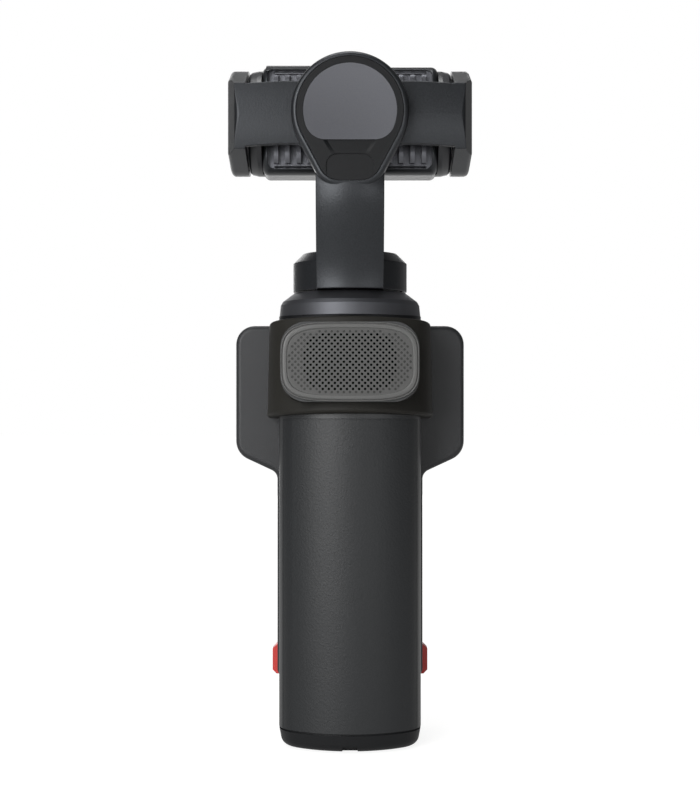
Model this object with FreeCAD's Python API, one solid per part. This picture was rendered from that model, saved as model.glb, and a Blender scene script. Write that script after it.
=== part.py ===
import FreeCAD, Part
import math
import os

# A pocket gimbal camera, in millimetres. The frame stands on its base at z = 0, with the pan axis on
# the Z axis. The grip's back faces -Y, the lenses and the screen face +Y.

# Fits and clearances
TOUCH_GAP = 0.1
PART_GAP = 0.3
RUN_GAP = 0.05
SEAT_GAP = 0.02

# Grip: three-arc back, straight sides
GRIP_HALF_WIDTH = 16.8
GRIP_BACK = 15.0
GRIP_FRONT = 7.7
SIDE_RADIUS = 8.0
SIDE_TURN = math.radians(55.0)
GRIP_WALL = 1.6
CAP_HEIGHT = 4.4
CAP_ROUND = 2.2
CAP_DRAFT = 0.8
CAP_SEAM_TALL = 0.4
CAP_SEAM_DEEP = 0.45
CAP_FLOOR = 2.2
CAP_RIM = 5.0
FOOT_FRONT = 15.7
FOOT_TOP = 12.7
FOOT_CORNER = 4.0
SHELL_TOP = 100.1
SKIN_THICK = 0.8
SKIN_HALF_WIDTH = 15.7
SKIN_TOP = 77.0
NOTCH_WIDTH = 3.5
NOTCH_HEIGHT = 1.3
NOTCH_DEPTH = 3.4

# Base fittings
THREAD_RADIUS = 2.55
THREAD_DEPTH = 4.3
INSERT_RADIUS = 4.6
INSERT_HEIGHT = 6.0
USB_Y = 9.4
USB_WIDTH = 8.94
USB_THICK = 3.26
USB_WALL = 0.3
USB_DEPTH = 6.5
USB_RECESS = 0.5
TONGUE_WIDTH = 6.7
TONGUE_THICK = 0.7
SCREW_X = 10.0
SCREW_RADIUS = 0.8
SCREW_HEAD_RADIUS = 1.5
SCREW_HEAD_HEIGHT = 0.9
SCREW_SINK = 0.4
SCREW_LENGTH = 5.0

# Grip inside
DOCK_THICK = 1.4
CELL_HALF_WIDTH = 12.0
CELL_BACK = 10.8
CELL_LOW = 20.0
CELL_HEIGHT = 56.0
CELL_CORNER = 3.5
BOARD_THICK = 1.0
BOARD_HALF_WIDTH = 13.5
BOARD_LOW = 24.0
CHIP_THICK = 1.2
CHIP_SIZE = 9.0
CONTACT_HALF_WIDTH = 5.0
CONTACT_LOW = 30.0
CONTACT_HEIGHT = 3.0
CONTACT_COUNT = 4
CONTACT_PITCH = 2.2

# Pan ring and pan motor
DECK_THICK = 1.0
DECK_INSET = 0.4
SPIGOT_DEEP = 2.4
RING_OVERHANG = 0.1
RING_SLOPE_WIDTH = 2.8
RING_LIP = 0.6
RING_WALL = 2.0
RING_SIDE = 3.4
RING_HEIGHT = 5.8
RING_STEP = 0.8
RING_DRAFT = 0.3
SHAFT_RADIUS = 2.0
BEARING_RADIUS = 4.0
BEARING_HEIGHT = 4.0
STATOR_RADIUS = 10.2
STATOR_HEIGHT = 3.6
STATOR_SLOTS = 9
SLOT_WIDTH = 1.6
AIR_GAP = 0.7
MAGNET_THICK = 1.3

# Turntable block and pan arm
BLOCK_RADIUS = 13.6
BLOCK_SIDE = 6.7
BLOCK_CHAMFER = 2.3
ARM_HALF_WIDTH = 7.8
ARM_CROWN = 1.7
ARM_FOOT_BACK = 15.4
ARM_SHOULDER_Z = 130.5
ARM_STATIONS = 9
ARM_FRONT_LOW = 9.5
ARM_FRONT_HIGH_Z = 127.0
ARM_FOOT_ROUND = 1.0
ARM_INSTEP_ROUND = 4.0
ARM_KNEE_ROUND = 12.0
ARM_BOSS_RADIUS = 8.0

# Roll housing and its cover
ROLL_Z = 146.9
ROLL_RADIUS = 13.4
ROLL_BACK = 21.8
ROLL_FRONT = 17.3
NECK_TURN = math.radians(28.2)
COVER_RADIUS = 12.1
COVER_DROP = 15.9
COVER_THICK = 0.8
COVER_CORNER = 5.0
HOUSING_ROUND = 1.15
DIAL_RADIUS = 10.6
DIAL_FLAT = 6.7
DIAL_CORNER = 4.6
DIAL_DISH = 0.3
DIAL_THICK = 0.5
CHIN_HALF_WIDTH = 5.4
CHIN_TOP = 9.9
CHIN_DEEP = 0.3
RAMP_DEEP = 0.45
RAMP_HALF_WIDTH = 6.2
RAMP_TAPER = 2.0
RAMP_SIDE = 0.9
ROLL_CAVITY = 12.0
ROLL_WALL = 0.8
ROLL_STACK = 1.9
SMALL_SHAFT = 1.5
SMALL_BEARING = 3.2
ROLL_STATOR = 8.8

# Yoke
TILT_Z = 147.5
BAR_FRONT = 14.1
BAR_THICK = 2.8
BAR_TOP = 6.9
BAR_BOTTOM = 7.5
BAR_FLARE = 0.8
HUB_RADIUS = 13.0
HUB_BLEND = 3.0
YOKE_HALF_WIDTH = 28.4
CHEEK_THICK = 4.3
CHEEK_RADIUS = 12.45
CHEEK_ROUND = 1.2
YOKE_CORNER_Y = 10.9
YOKE_CORNER_WIDTH = 2.1
YOKE_CORNER_ROUND = 1.2
BAR_CROWN = 30.0
LID_RADIUS = 10.6
LID_THICK = 0.9
LID_DOME = 0.3
TILT_CAVITY = 10.4
TILT_WALL = 0.7
TILT_STATOR = 7.6
ROTOR_DISC = 0.9

# Camera head
BARREL_LENGTH = 3.1
HEAD_HALF_HEIGHT = 12.8
HEAD_BACK = 8.6
HEAD_FRONT = 10.0
HEAD_BACK_ROUND = 5.0
HEAD_FRONT_ROUND = 6.0
HEAD_SPLIT = -2.0
HUMP_RADIUS = 13.8
HUMP_INSET = 0.9
HUMP_RIGHT = 1.0
HUMP_LOW = 11.0
HEAD_SIDE_WALL = 0.9
HEAD_WALL = 1.6
HEAD_REAR_WALL = 1.1
HEAD_END_ROUND = 1.5
BARREL_FLARE = 0.35
VENT_RIM = 1.4
VENT_LIP = 1.2
VENT_CORNER = 1.4
VENT_DEEP = 2.6
SINK_PLATE = 1.0
FIN_PITCH = 2.67
FIN_MARGIN = 0.5
FIN_THICK = 1.1
FIN_END_GAP = 1.2
FIN_TALL = 2.1
SINK_INSET = 0.5
LEDGE_TALL = 0.8
LEDGE_GAP = 0.3
PAD_WIDTH = 0.95
PAD_HEIGHT = 0.45
PAD_PROUD = 0.25
ISLAND_MARGIN = 1.4
ISLAND_HALF_HEIGHT = 8.8
ISLAND_TALL = 1.8
MAIN_X = -8.2
MAIN_RADIUS = 7.9
MAIN_TALL = 2.2
TELE_X = 9.8
TELE_RADIUS = 6.1
TELE_TALL = 1.4
LENS_RIM = 1.5
LENS_SINK = 0.5
GLASS_THICK = 0.8
SENSOR_Y = 2.0
SENSOR_THICK = 1.2
SENSOR_MARGIN = 0.6

# Screen remote
REMOTE_FRONT = 16.0
REMOTE_SPLIT = 12.4
REMOTE_LOW = 13.0
REMOTE_TOP = 99.6
STEM_HALF_WIDTH = 17.85
WING_HALF_WIDTH = 28.0
WING_MEET_Z = 63.5
WING_SLOPE = math.radians(25.0)
WING_TOP_ROUND = 4.6
WING_LOW_ROUND = 4.9
WING_INNER_ROUND = 2.4
STEM_ROUND = 2.5
REMOTE_WALL = 1.3
REMOTE_BACK_ROUND = 1.2
REMOTE_FRONT_ROUND = 1.5
GLASS_HALF_WIDTH = 26.0
GLASS_LOW = 70.0
GLASS_TOP = 98.0
GLASS_CORNER = 3.2
SCREEN_GLASS_THICK = 0.8
PANEL_HALF_WIDTH = 23.4
PANEL_HALF_HEIGHT = 12.6
PANEL_THICK = 1.7
REMOTE_CELL_HALF_WIDTH = 22.0
REMOTE_CELL_HALF_HEIGHT = 11.5
REMOTE_BOARD_HALF_WIDTH = 7.2
REMOTE_BOARD_LOW = 22.5
REMOTE_BOARD_TOP = 61.5
REMOTE_BOARD_BACK = 10.8

# Thumb stick
STICK_Z = 53.5
STICK_PIVOT_Y = 13.6
STICK_HOLE = 6.4
STICK_CAP_RADIUS = 5.0
STICK_CAP_THICK = 1.5
STICK_CAP_Y = 16.2
STICK_STEM = 1.3
STICK_FOOT = 0.8
STICK_DISH = 0.4
SLEEVE_INNER = 5.6
SLEEVE_WALL = 0.9
CRADLE_OUTER = 4.6
CRADLE_INNER = 3.5
CRADLE_THICK = 1.4
PIVOT_PIN = 0.45

# Face buttons
RECORD_Z = 39.5
RECORD_RADIUS = 4.5
BUTTON_PROUD = 0.7
BUTTON_GAP = 0.2
BUTTON_FLANGE = 0.7
BUTTON_TRAVEL = 0.5
PILL_X = 8.6
PILL_Z = 27.5
PILL_HALF_WIDTH = 3.6
PILL_HALF_HEIGHT = 1.7
SWITCH_RADIUS = 1.5

# Squeeze buttons that hold the remote
RELEASE_LOW = 13.9
RELEASE_HEIGHT = 7.2
RELEASE_OUT = 19.1
RELEASE_LOW_Y = 10.2
RELEASE_HIGH_Y = 14.2
RELEASE_GAP = 0.2
RELEASE_EDGE = 1.0
RELEASE_TRAVEL = 1.0
RELEASE_LIP = 0.8
HOOK_X = 12.0
HOOK_THICK = 1.2
HOOK_CATCH = 0.8
HOOK_HEAD = 1.2
HOOK_HALF_HEIGHT = 2.4
SPRING_RADIUS = 1.5
SPRING_BORE = 0.9
RIB_X = 8.0
RIB_THICK = 0.9

# Clip band and microphone
BAND_THICK = 2.7
BAND_LOW = 78.5
BAND_TOP = 100.8
BAND_TILT = math.radians(5.4)
BAND_BEND = 20.0
MIC_Z = 90.1
MIC_HALF_WIDTH = 15.85
MIC_HALF_HEIGHT = 9.15
MIC_CORNER = 6.0
MIC_FACE = 20.3
MIC_DEEP = 15.6
MIC_WALL = 0.9
RIM_WIDTH = 1.45
RIM_TALL = 0.9
RIM_INSET = 0.1
PAD_HALF_WIDTH = 15.0
PAD_HALF_HEIGHT = 8.2
GRILLE_THICK = 0.5
GRILLE_SINK = 0.35
HOLE_PITCH = 1.376
HOLE_SIZE = 0.5
HOLE_ROWS = 19
HOLE_COLUMNS = 16

# Values that follow from the ones above
SIDE_CENTRE_X = GRIP_HALF_WIDTH - SIDE_RADIUS
RING_RADIUS = GRIP_HALF_WIDTH + RING_OVERHANG
DECK_RADIUS = RING_RADIUS - DECK_INSET
RING_SHOULDER = RING_RADIUS - RING_STEP
RING_TOP_RADIUS = RING_SHOULDER - RING_SLOPE_WIDTH
RING_MOUTH = RING_TOP_RADIUS - RING_LIP
BACK_RADIUS = SIDE_RADIUS + SIDE_CENTRE_X / math.cos(SIDE_TURN)
SKIN_LOW = CAP_HEIGHT + TOUCH_GAP / 2.0
MIC_SEAT = GRIP_BACK + TOUCH_GAP + BAND_THICK
BACK_CENTRE_Y = BACK_RADIUS - GRIP_BACK
SIDE_CENTRE_Y = BACK_CENTRE_Y - (BACK_RADIUS - SIDE_RADIUS) * math.sin(SIDE_TURN)
DECK_Z = SHELL_TOP
RING_Z = DECK_Z + DECK_THICK
RING_TOP = RING_Z + RING_HEIGHT
BLOCK_Z = RING_TOP + PART_GAP
BLOCK_TOP = BLOCK_Z + BLOCK_SIDE + BLOCK_CHAMFER
BAR_BACK = BAR_FRONT + BAR_THICK
CHEEK_INNER = YOKE_HALF_WIDTH - CHEEK_THICK
BARREL_END = CHEEK_INNER - PART_GAP
TILT_ROOM = CHEEK_THICK - LID_THICK - TILT_WALL
TILT_STACK = TILT_ROOM - ROTOR_DISC
TILT_BEARING_LONG = TILT_ROOM - TOUCH_GAP
HEAD_HALF_WIDTH = BARREL_END - BARREL_LENGTH
HUMP_LEFT = HEAD_HALF_WIDTH - HUMP_INSET
VENT_HALF_WIDTH = HEAD_HALF_WIDTH - VENT_RIM
VENT_HALF_HEIGHT = HEAD_HALF_HEIGHT - VENT_LIP
FIN_HALF_HEIGHT = VENT_HALF_HEIGHT - FIN_END_GAP
FIN_COUNT = 2 * int((VENT_HALF_WIDTH - FIN_MARGIN - FIN_THICK / 2.0) / FIN_PITCH + 0.5)
ISLAND_LEFT = MAIN_X - MAIN_RADIUS - ISLAND_MARGIN
ISLAND_RIGHT = TELE_X + TELE_RADIUS + ISLAND_MARGIN
DOCK_BACK = GRIP_FRONT - DOCK_THICK
REMOTE_BACK = GRIP_FRONT + PART_GAP
FACE_FLOOR = REMOTE_FRONT - REMOTE_WALL
ISLAND_Y = HEAD_FRONT + ISLAND_TALL


def point(plane, u, v, w):
    """A point from two coordinates in a plane and its distance along the third axis."""
    if plane == "xy":
        return FreeCAD.Vector(u, v, w)
    if plane == "xz":
        return FreeCAD.Vector(u, w, v)
    return FreeCAD.Vector(w, u, v)


def normal(plane, length):
    """The plane's third axis, at a length."""
    return point(plane, 0.0, 0.0, length)


def rounded_wire(corners, plane, level):
    """A closed outline of straight sides with a radius at each corner (u, v, radius)."""
    count = len(corners)
    stations = []
    for index in range(count):
        u, v, radius = corners[index]
        back = corners[index - 1]
        ahead = corners[(index + 1) % count]
        to_back = FreeCAD.Vector(back[0] - u, back[1] - v, 0.0).normalize()
        to_ahead = FreeCAD.Vector(ahead[0] - u, ahead[1] - v, 0.0).normalize()
        corner = FreeCAD.Vector(u, v, 0.0)
        if radius <= 0.0:
            stations.append((corner, None, corner))
            continue
        half = to_back.getAngle(to_ahead) / 2.0
        reach = radius / math.tan(half)
        middle = (to_back + to_ahead).normalize() * (radius / math.sin(half) - radius)
        stations.append((corner + to_back * reach, corner + middle, corner + to_ahead * reach))
    edges = []
    for index in range(count):
        enter, middle, leave = stations[index]
        start = point(plane, leave.x, leave.y, level)
        follow = stations[(index + 1) % count][0]
        if middle is not None:
            first = point(plane, enter.x, enter.y, level)
            top = point(plane, middle.x, middle.y, level)
            edges.append(Part.Arc(first, top, start).toShape())
        if (follow - leave).Length > 1e-6:
            end = point(plane, follow.x, follow.y, level)
            edges.append(Part.LineSegment(start, end).toShape())
    return Part.Wire(edges)


def prism(corners, plane, low, high):
    """A solid between two levels with one rounded outline."""
    face = Part.Face(rounded_wire(corners, plane, low))
    return face.extrude(normal(plane, high - low))


def rectangle(u_low, u_high, v_low, v_high, radius=0.0):
    """Corners of a rectangle for rounded_wire."""
    return [(u_low, v_low, radius), (u_high, v_low, radius), (u_high, v_high, radius), (u_low, v_high, radius)]


def box(x_low, x_high, y_low, y_high, z_low, z_high):
    """A plain block between limits."""
    corner = FreeCAD.Vector(x_low, y_low, z_low)
    return Part.makeBox(x_high - x_low, y_high - y_low, z_high - z_low, corner)


def cylinder(plane, u, v, radius, low, high):
    """A round bar along the plane's third axis."""
    return Part.makeCylinder(radius, high - low, point(plane, u, v, low), normal(plane, 1.0))


def tube(plane, u, v, outer, inner, low, high):
    """A round tube along the plane's third axis."""
    return cylinder(plane, u, v, outer, low, high).cut(cylinder(plane, u, v, inner, low, high))


def turned(profile, plane, u, v):
    """A turned solid from (radius, height) points about the plane's third axis at (u, v)."""
    wire = Part.makePolygon([point(plane, u + r, v, h) for r, h in profile + profile[:1]])
    return Part.Face(wire).revolve(point(plane, u, v, 0.0), normal(plane, 1.0), 360.0)


def slotted_core(plane, u, v, outer, inner, low, high):
    """A motor's stator: a core ring with winding slots round its rim."""
    core = tube(plane, u, v, outer, inner, low, high)
    depth = (outer - inner) * 0.55
    for step in range(STATOR_SLOTS):
        corners = rectangle(outer - depth, outer + 1.0, -SLOT_WIDTH / 2.0, SLOT_WIDTH / 2.0)
        slot = prism([(u + a, v + b, r) for a, b, r in corners], plane, low, high)
        slot.rotate(point(plane, u, v, 0.0), normal(plane, 1.0), step * 360.0 / STATOR_SLOTS)
        core = core.cut(slot)
    return core


def mirrored(shape):
    """The same shape on the other side of the middle plane."""
    return shape.mirror(FreeCAD.Vector(0, 0, 0), FreeCAD.Vector(1, 0, 0))


def grip_wire(inset, front, level):
    """The grip's outline in plan: one wide back arc, two side arcs and straight sides."""
    side = SIDE_RADIUS - inset
    back = BACK_RADIUS - inset
    wide = GRIP_HALF_WIDTH - inset

    def on_side(turn):
        return SIDE_CENTRE_X + side * math.cos(turn), SIDE_CENTRE_Y - side * math.sin(turn)

    join_x, join_y = on_side(SIDE_TURN)
    half_x, half_y = on_side(SIDE_TURN / 2.0)
    right = [(wide, front), (wide, SIDE_CENTRE_Y), (half_x, half_y), (join_x, join_y)]
    spots = [FreeCAD.Vector(x, y, level) for x, y in right]
    twins = [FreeCAD.Vector(-x, y, level) for x, y in right]
    rear = FreeCAD.Vector(0.0, BACK_CENTRE_Y - back, level)
    return Part.Wire([
        Part.LineSegment(twins[0], spots[0]).toShape(),
        Part.LineSegment(spots[0], spots[1]).toShape(),
        Part.Arc(spots[1], spots[2], spots[3]).toShape(),
        Part.Arc(spots[3], rear, twins[3]).toShape(),
        Part.Arc(twins[3], twins[2], twins[1]).toShape(),
        Part.LineSegment(twins[1], twins[0]).toShape(),
    ])


def grip_block(inset, front, low, high):
    """The grip's plan between two heights."""
    return Part.Face(grip_wire(inset, front, low)).extrude(FreeCAD.Vector(0, 0, high - low))


def foot_block(inset, low, high):
    """The lower end's plan, which also reaches under the remote."""
    wide = GRIP_HALF_WIDTH - inset
    front = FOOT_FRONT - inset
    corner = max(FOOT_CORNER - inset, 0.5)
    corners = [(-wide, 0.0, 0.0), (wide, 0.0, 0.0), (wide, front, corner), (-wide, front, corner)]
    return grip_block(inset, 0.0, low, high).fuse(prism(corners, "xy", low, high)).removeSplitter()


def outer_wire(block, level):
    """The outline of a block's flat face at one height."""
    face = [face for face in block.Faces if face.BoundBox.ZMax - face.BoundBox.ZMin < 0.01
            and abs(face.BoundBox.ZMin - level) < 0.01][0]
    return face.OuterWire


def skin_zone(gap):
    """The back strip of the grip that carries the grained skin."""
    low = SKIN_LOW - gap
    high = SKIN_TOP + gap
    ring = grip_block(-1.0, 0.0, low, high).cut(grip_block(SKIN_THICK, 1.0, low - 1.0, high + 1.0))
    half = SKIN_HALF_WIDTH + gap
    return ring.common(box(-half, half, -GRIP_BACK - 2.0, SIDE_CENTRE_Y, low, high))


def make_grip_shell():
    shell = grip_block(0.0, GRIP_FRONT, CAP_HEIGHT, SHELL_TOP)
    shell = shell.fuse(foot_block(0.0, CAP_HEIGHT, FOOT_TOP))
    shell = shell.cut(grip_block(GRIP_WALL, GRIP_FRONT + 1.0, FOOT_TOP - GRIP_WALL, SHELL_TOP + 1.0))
    shell = shell.cut(foot_block(GRIP_WALL, CAP_HEIGHT - 1.0, FOOT_TOP - GRIP_WALL))
    return shell.removeSplitter().cut(skin_zone(TOUCH_GAP / 2.0))


def make_grip_skin():
    skin = grip_block(0.0, 0.0, SKIN_LOW, SKIN_TOP)
    return skin.common(skin_zone(0.0))


def make_bottom_cap():
    narrow = outer_wire(foot_block(CAP_DRAFT, 0.0, CAP_HEIGHT), 0.0)
    wide = outer_wire(foot_block(0.0, 0.0, CAP_HEIGHT), CAP_HEIGHT)
    cap = Part.makeLoft([narrow, wide], True, True)
    seam = foot_block(-1.0, CAP_HEIGHT - CAP_SEAM_TALL, CAP_HEIGHT + 1.0)
    seam = seam.cut(foot_block(CAP_SEAM_DEEP, 0.0, CAP_HEIGHT + 2.0))
    rim = [edge for edge in cap.Edges if edge.BoundBox.ZMax < 0.01]
    cap = cap.makeFillet(CAP_ROUND, rim).cut(seam)
    cap = cap.cut(foot_block(CAP_RIM, CAP_FLOOR, CAP_HEIGHT + 1.0))
    cap = cap.fuse(cylinder("xy", 0.0, 0.0, INSERT_RADIUS + GRIP_WALL, CAP_FLOOR, CAP_HEIGHT))
    cap = cap.cut(cylinder("xy", 0.0, 0.0, INSERT_RADIUS + SEAT_GAP, -1.0, CAP_HEIGHT + 1.0))
    cap = cap.cut(usb_block(USB_WIDTH + 2.0 * TOUCH_GAP, USB_THICK + 2.0 * TOUCH_GAP, -1.0, CAP_HEIGHT + 1.0))
    for side in (-1.0, 1.0):
        head = SCREW_HEAD_RADIUS + TOUCH_GAP
        cap = cap.cut(cylinder("xy", side * SCREW_X, 0.0, head, -1.0, SCREW_SINK + SCREW_HEAD_HEIGHT))
        cap = cap.cut(cylinder("xy", side * SCREW_X, 0.0, SCREW_RADIUS + TOUCH_GAP, 0.0, CAP_HEIGHT + 1.0))
    notch = box(-NOTCH_WIDTH / 2.0, NOTCH_WIDTH / 2.0, -GRIP_BACK - 1.0, NOTCH_DEPTH - GRIP_BACK, -1.0, NOTCH_HEIGHT)
    return cap.cut(notch)


def make_tripod_insert():
    insert = cylinder("xy", 0.0, 0.0, INSERT_RADIUS, 0.0, INSERT_HEIGHT)
    return insert.cut(cylinder("xy", 0.0, 0.0, THREAD_RADIUS, -1.0, THREAD_DEPTH))


def usb_block(width, thick, low, high):
    """The stadium outline of the charging socket, standing on the base."""
    half = thick / 2.0
    corners = rectangle(-width / 2.0, width / 2.0, USB_Y - half, USB_Y + half, half - 0.01)
    return prism(corners, "xy", low, high)


def make_usb_socket():
    top = USB_RECESS + USB_DEPTH
    socket = usb_block(USB_WIDTH, USB_THICK, USB_RECESS, top)
    bore = usb_block(USB_WIDTH - 2.0 * USB_WALL, USB_THICK - 2.0 * USB_WALL, 0.0, top - USB_WALL)
    socket = socket.cut(bore)
    tongue = box(-TONGUE_WIDTH / 2.0, TONGUE_WIDTH / 2.0, USB_Y - TONGUE_THICK / 2.0,
                 USB_Y + TONGUE_THICK / 2.0, USB_RECESS + 1.0, top - USB_WALL)
    return socket.fuse(tongue)


def make_cap_screws():
    screws = []
    for side in (-1.0, 1.0):
        head_top = SCREW_SINK + SCREW_HEAD_HEIGHT
        head = cylinder("xy", side * SCREW_X, 0.0, SCREW_HEAD_RADIUS, SCREW_SINK, head_top)
        screws.append(head.fuse(cylinder("xy", side * SCREW_X, 0.0, SCREW_RADIUS, head_top, SCREW_LENGTH)))
    return Part.makeCompound(screws)


def hook_slot(low_y, high_y):
    """The slot that a squeeze button's hook passes through, on the right side."""
    inner = HOOK_X - RELEASE_TRAVEL - PART_GAP
    outer = HOOK_X + HOOK_THICK + TOUCH_GAP
    middle = RELEASE_LOW + RELEASE_HEIGHT / 2.0
    half = HOOK_HALF_HEIGHT + PART_GAP
    return box(inner, outer, low_y, high_y, middle - half, middle + half)


def make_dock_plate():
    half = GRIP_HALF_WIDTH - GRIP_WALL - SEAT_GAP
    plate = box(-half, half, DOCK_BACK, GRIP_FRONT, FOOT_TOP - GRIP_WALL, SHELL_TOP)
    slot = hook_slot(DOCK_BACK - 1.0, GRIP_FRONT + 1.0)
    plate = plate.cut(slot).cut(mirrored(slot))
    wide = CONTACT_HALF_WIDTH + SEAT_GAP
    window = box(-wide, wide, DOCK_BACK - 1.0, GRIP_FRONT + 1.0, CONTACT_LOW - SEAT_GAP,
                 CONTACT_LOW + CONTACT_HEIGHT + SEAT_GAP)
    return plate.cut(window)


def make_dock_contacts():
    high = CONTACT_LOW + CONTACT_HEIGHT
    block = box(-CONTACT_HALF_WIDTH, CONTACT_HALF_WIDTH, DOCK_BACK, GRIP_FRONT, CONTACT_LOW, high)
    for index in range(CONTACT_COUNT):
        x = (index - (CONTACT_COUNT - 1) / 2.0) * CONTACT_PITCH
        pad = cylinder("xz", x, CONTACT_LOW + CONTACT_HEIGHT / 2.0, 0.7, GRIP_FRONT - 0.2, GRIP_FRONT)
        block = block.cut(pad)
    return block


def make_main_board():
    front = DOCK_BACK - TOUCH_GAP
    back = front - BOARD_THICK
    board = box(-BOARD_HALF_WIDTH, BOARD_HALF_WIDTH, back, front, BOARD_LOW, SHELL_TOP - SPIGOT_DEEP - 1.0)
    low = CELL_LOW + CELL_HEIGHT + 2.0
    for side in (-1.0, 1.0):
        x = side * (CHIP_SIZE / 2.0 + 1.0)
        chip = box(x - CHIP_SIZE / 2.0, x + CHIP_SIZE / 2.0, back - CHIP_THICK, back, low, low + CHIP_SIZE)
        board = board.fuse(chip)
    return board


def make_battery_cell():
    front = DOCK_BACK - TOUCH_GAP - BOARD_THICK - TOUCH_GAP
    corners = rectangle(-CELL_HALF_WIDTH, CELL_HALF_WIDTH, -CELL_BACK, front, CELL_CORNER)
    return prism(corners, "xy", CELL_LOW, CELL_LOW + CELL_HEIGHT)


def make_top_deck():
    deck = grip_block(0.0, GRIP_FRONT, DECK_Z, RING_Z)
    front = box(-DECK_RADIUS, DECK_RADIUS, 0.0, DECK_RADIUS, DECK_Z, RING_Z)
    deck = deck.fuse(cylinder("xy", 0.0, 0.0, DECK_RADIUS, DECK_Z, RING_Z).common(front))
    inset = GRIP_WALL + TOUCH_GAP
    deck = deck.fuse(grip_block(inset, DOCK_BACK - TOUCH_GAP, DECK_Z - SPIGOT_DEEP, DECK_Z))
    deck = deck.fuse(cylinder("xy", 0.0, 0.0, BEARING_RADIUS + 1.5, RING_Z, RING_Z + PART_GAP))
    bore = cylinder("xy", 0.0, 0.0, BEARING_RADIUS + SEAT_GAP, RING_Z - 2.0, RING_Z + 1.0)
    deck = deck.cut(bore)
    return deck.cut(cylinder("xy", 0.0, 0.0, SHAFT_RADIUS + PART_GAP, DECK_Z - SPIGOT_DEEP - 1.0, RING_Z))


def make_pan_ring():
    side_top = RING_Z + RING_SIDE
    shoulder = side_top + RING_DRAFT
    inner = RING_RADIUS - RING_WALL
    profile = [
        (inner, RING_Z),
        (RING_RADIUS, RING_Z),
        (RING_RADIUS - RING_DRAFT, side_top - 2.0 * RING_DRAFT),
        (RING_SHOULDER, shoulder),
        (RING_TOP_RADIUS, RING_TOP),
        (RING_MOUTH, RING_TOP),
        (RING_MOUTH, RING_TOP - 0.8),
        (inner, side_top - 1.2),
    ]
    return turned(profile, "xy", 0.0, 0.0)


def make_pan_bearing():
    low = RING_Z - 2.0
    return tube("xy", 0.0, 0.0, BEARING_RADIUS, SHAFT_RADIUS + RUN_GAP, low, low + BEARING_HEIGHT)


def make_pan_stator():
    low = RING_Z + PART_GAP
    return slotted_core("xy", 0.0, 0.0, STATOR_RADIUS, BEARING_RADIUS + SEAT_GAP, low, low + STATOR_HEIGHT)


def make_pan_rotor():
    inner = STATOR_RADIUS + AIR_GAP
    outer = inner + MAGNET_THICK
    disc_low = RING_Z + PART_GAP + STATOR_HEIGHT + PART_GAP
    disc_high = BLOCK_Z - 0.5
    rotor = tube("xy", 0.0, 0.0, outer, inner, RING_Z + 0.8, disc_low)
    rotor = rotor.fuse(cylinder("xy", 0.0, 0.0, outer, disc_low, disc_high))
    return rotor.cut(cylinder("xy", 0.0, 0.0, SHAFT_RADIUS + SEAT_GAP, disc_low - 1.0, disc_high + 1.0))


def make_pan_shaft():
    return cylinder("xy", 0.0, 0.0, SHAFT_RADIUS, RING_Z - 1.6, BLOCK_Z + 3.0)


def teardrop(radius, drop, corner, low, high):
    """A disc on the roll axis whose sides run down tangent to it and end square at a drop below."""
    touch_x = radius * math.cos(NECK_TURN)
    touch_z = radius * math.sin(NECK_TURN)
    end_x = touch_x - (drop - touch_z) * math.tan(NECK_TURN)
    tail = prism([
        (-touch_x, ROLL_Z - touch_z, 0.0),
        (-end_x, ROLL_Z - drop, corner),
        (end_x, ROLL_Z - drop, corner),
        (touch_x, ROLL_Z - touch_z, 0.0),
    ], "xz", low, high)
    return cylinder("xz", 0.0, ROLL_Z, radius, low, high).fuse(tail).removeSplitter()


def make_arm_frame():
    block_side = BLOCK_Z + BLOCK_SIDE
    top_radius = BLOCK_RADIUS - BLOCK_CHAMFER
    block = turned([(0.0, BLOCK_Z), (BLOCK_RADIUS, BLOCK_Z), (BLOCK_RADIUS, block_side),
                    (top_radius, BLOCK_TOP), (0.0, BLOCK_TOP)], "xy", 0.0, 0.0)
    stem = prism([
        (-ROLL_BACK - 1.0, BLOCK_Z, 0.0),
        (-ARM_FRONT_LOW, BLOCK_Z, 0.0),
        (-ARM_FRONT_LOW, BLOCK_TOP + ARM_FOOT_ROUND, ARM_INSTEP_ROUND),
        (-ROLL_FRONT, ARM_FRONT_HIGH_Z, ARM_KNEE_ROUND),
        (-ROLL_FRONT, ROLL_Z, 0.0),
        (-ROLL_BACK - 1.0, ROLL_Z, 0.0),
    ], "yz", -ARM_HALF_WIDTH, ARM_HALF_WIDTH)
    stem = stem.common(arm_crown())
    grow = ROLL_RADIUS - COVER_RADIUS
    housing = teardrop(ROLL_RADIUS, COVER_DROP + grow, COVER_CORNER + grow, -ROLL_BACK, -ROLL_FRONT)
    rim = [edge for edge in housing.Edges if edge.BoundBox.YMax < -ROLL_BACK + 0.01]
    housing = housing.makeFillet(HOUSING_ROUND, rim)
    frame = block.fuse([stem, housing]).removeSplitter()
    boss = cylinder("xy", 0.0, 0.0, ARM_BOSS_RADIUS, BLOCK_Z - 0.5, BLOCK_Z)
    frame = frame.fuse(boss)
    frame = frame.cut(cylinder("xy", 0.0, 0.0, SHAFT_RADIUS + SEAT_GAP, BLOCK_Z - 1.0, BLOCK_Z + 3.0))
    cavity_floor = COVER_THICK + ROLL_WALL - ROLL_BACK
    frame = frame.cut(cylinder("xz", 0.0, ROLL_Z, ROLL_CAVITY, cavity_floor, 1.0 - ROLL_FRONT))
    pocket = teardrop(COVER_RADIUS + TOUCH_GAP, COVER_DROP + TOUCH_GAP, COVER_CORNER,
                      -ROLL_BACK - 1.0, COVER_THICK - ROLL_BACK)
    return frame.cut(pocket)


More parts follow.
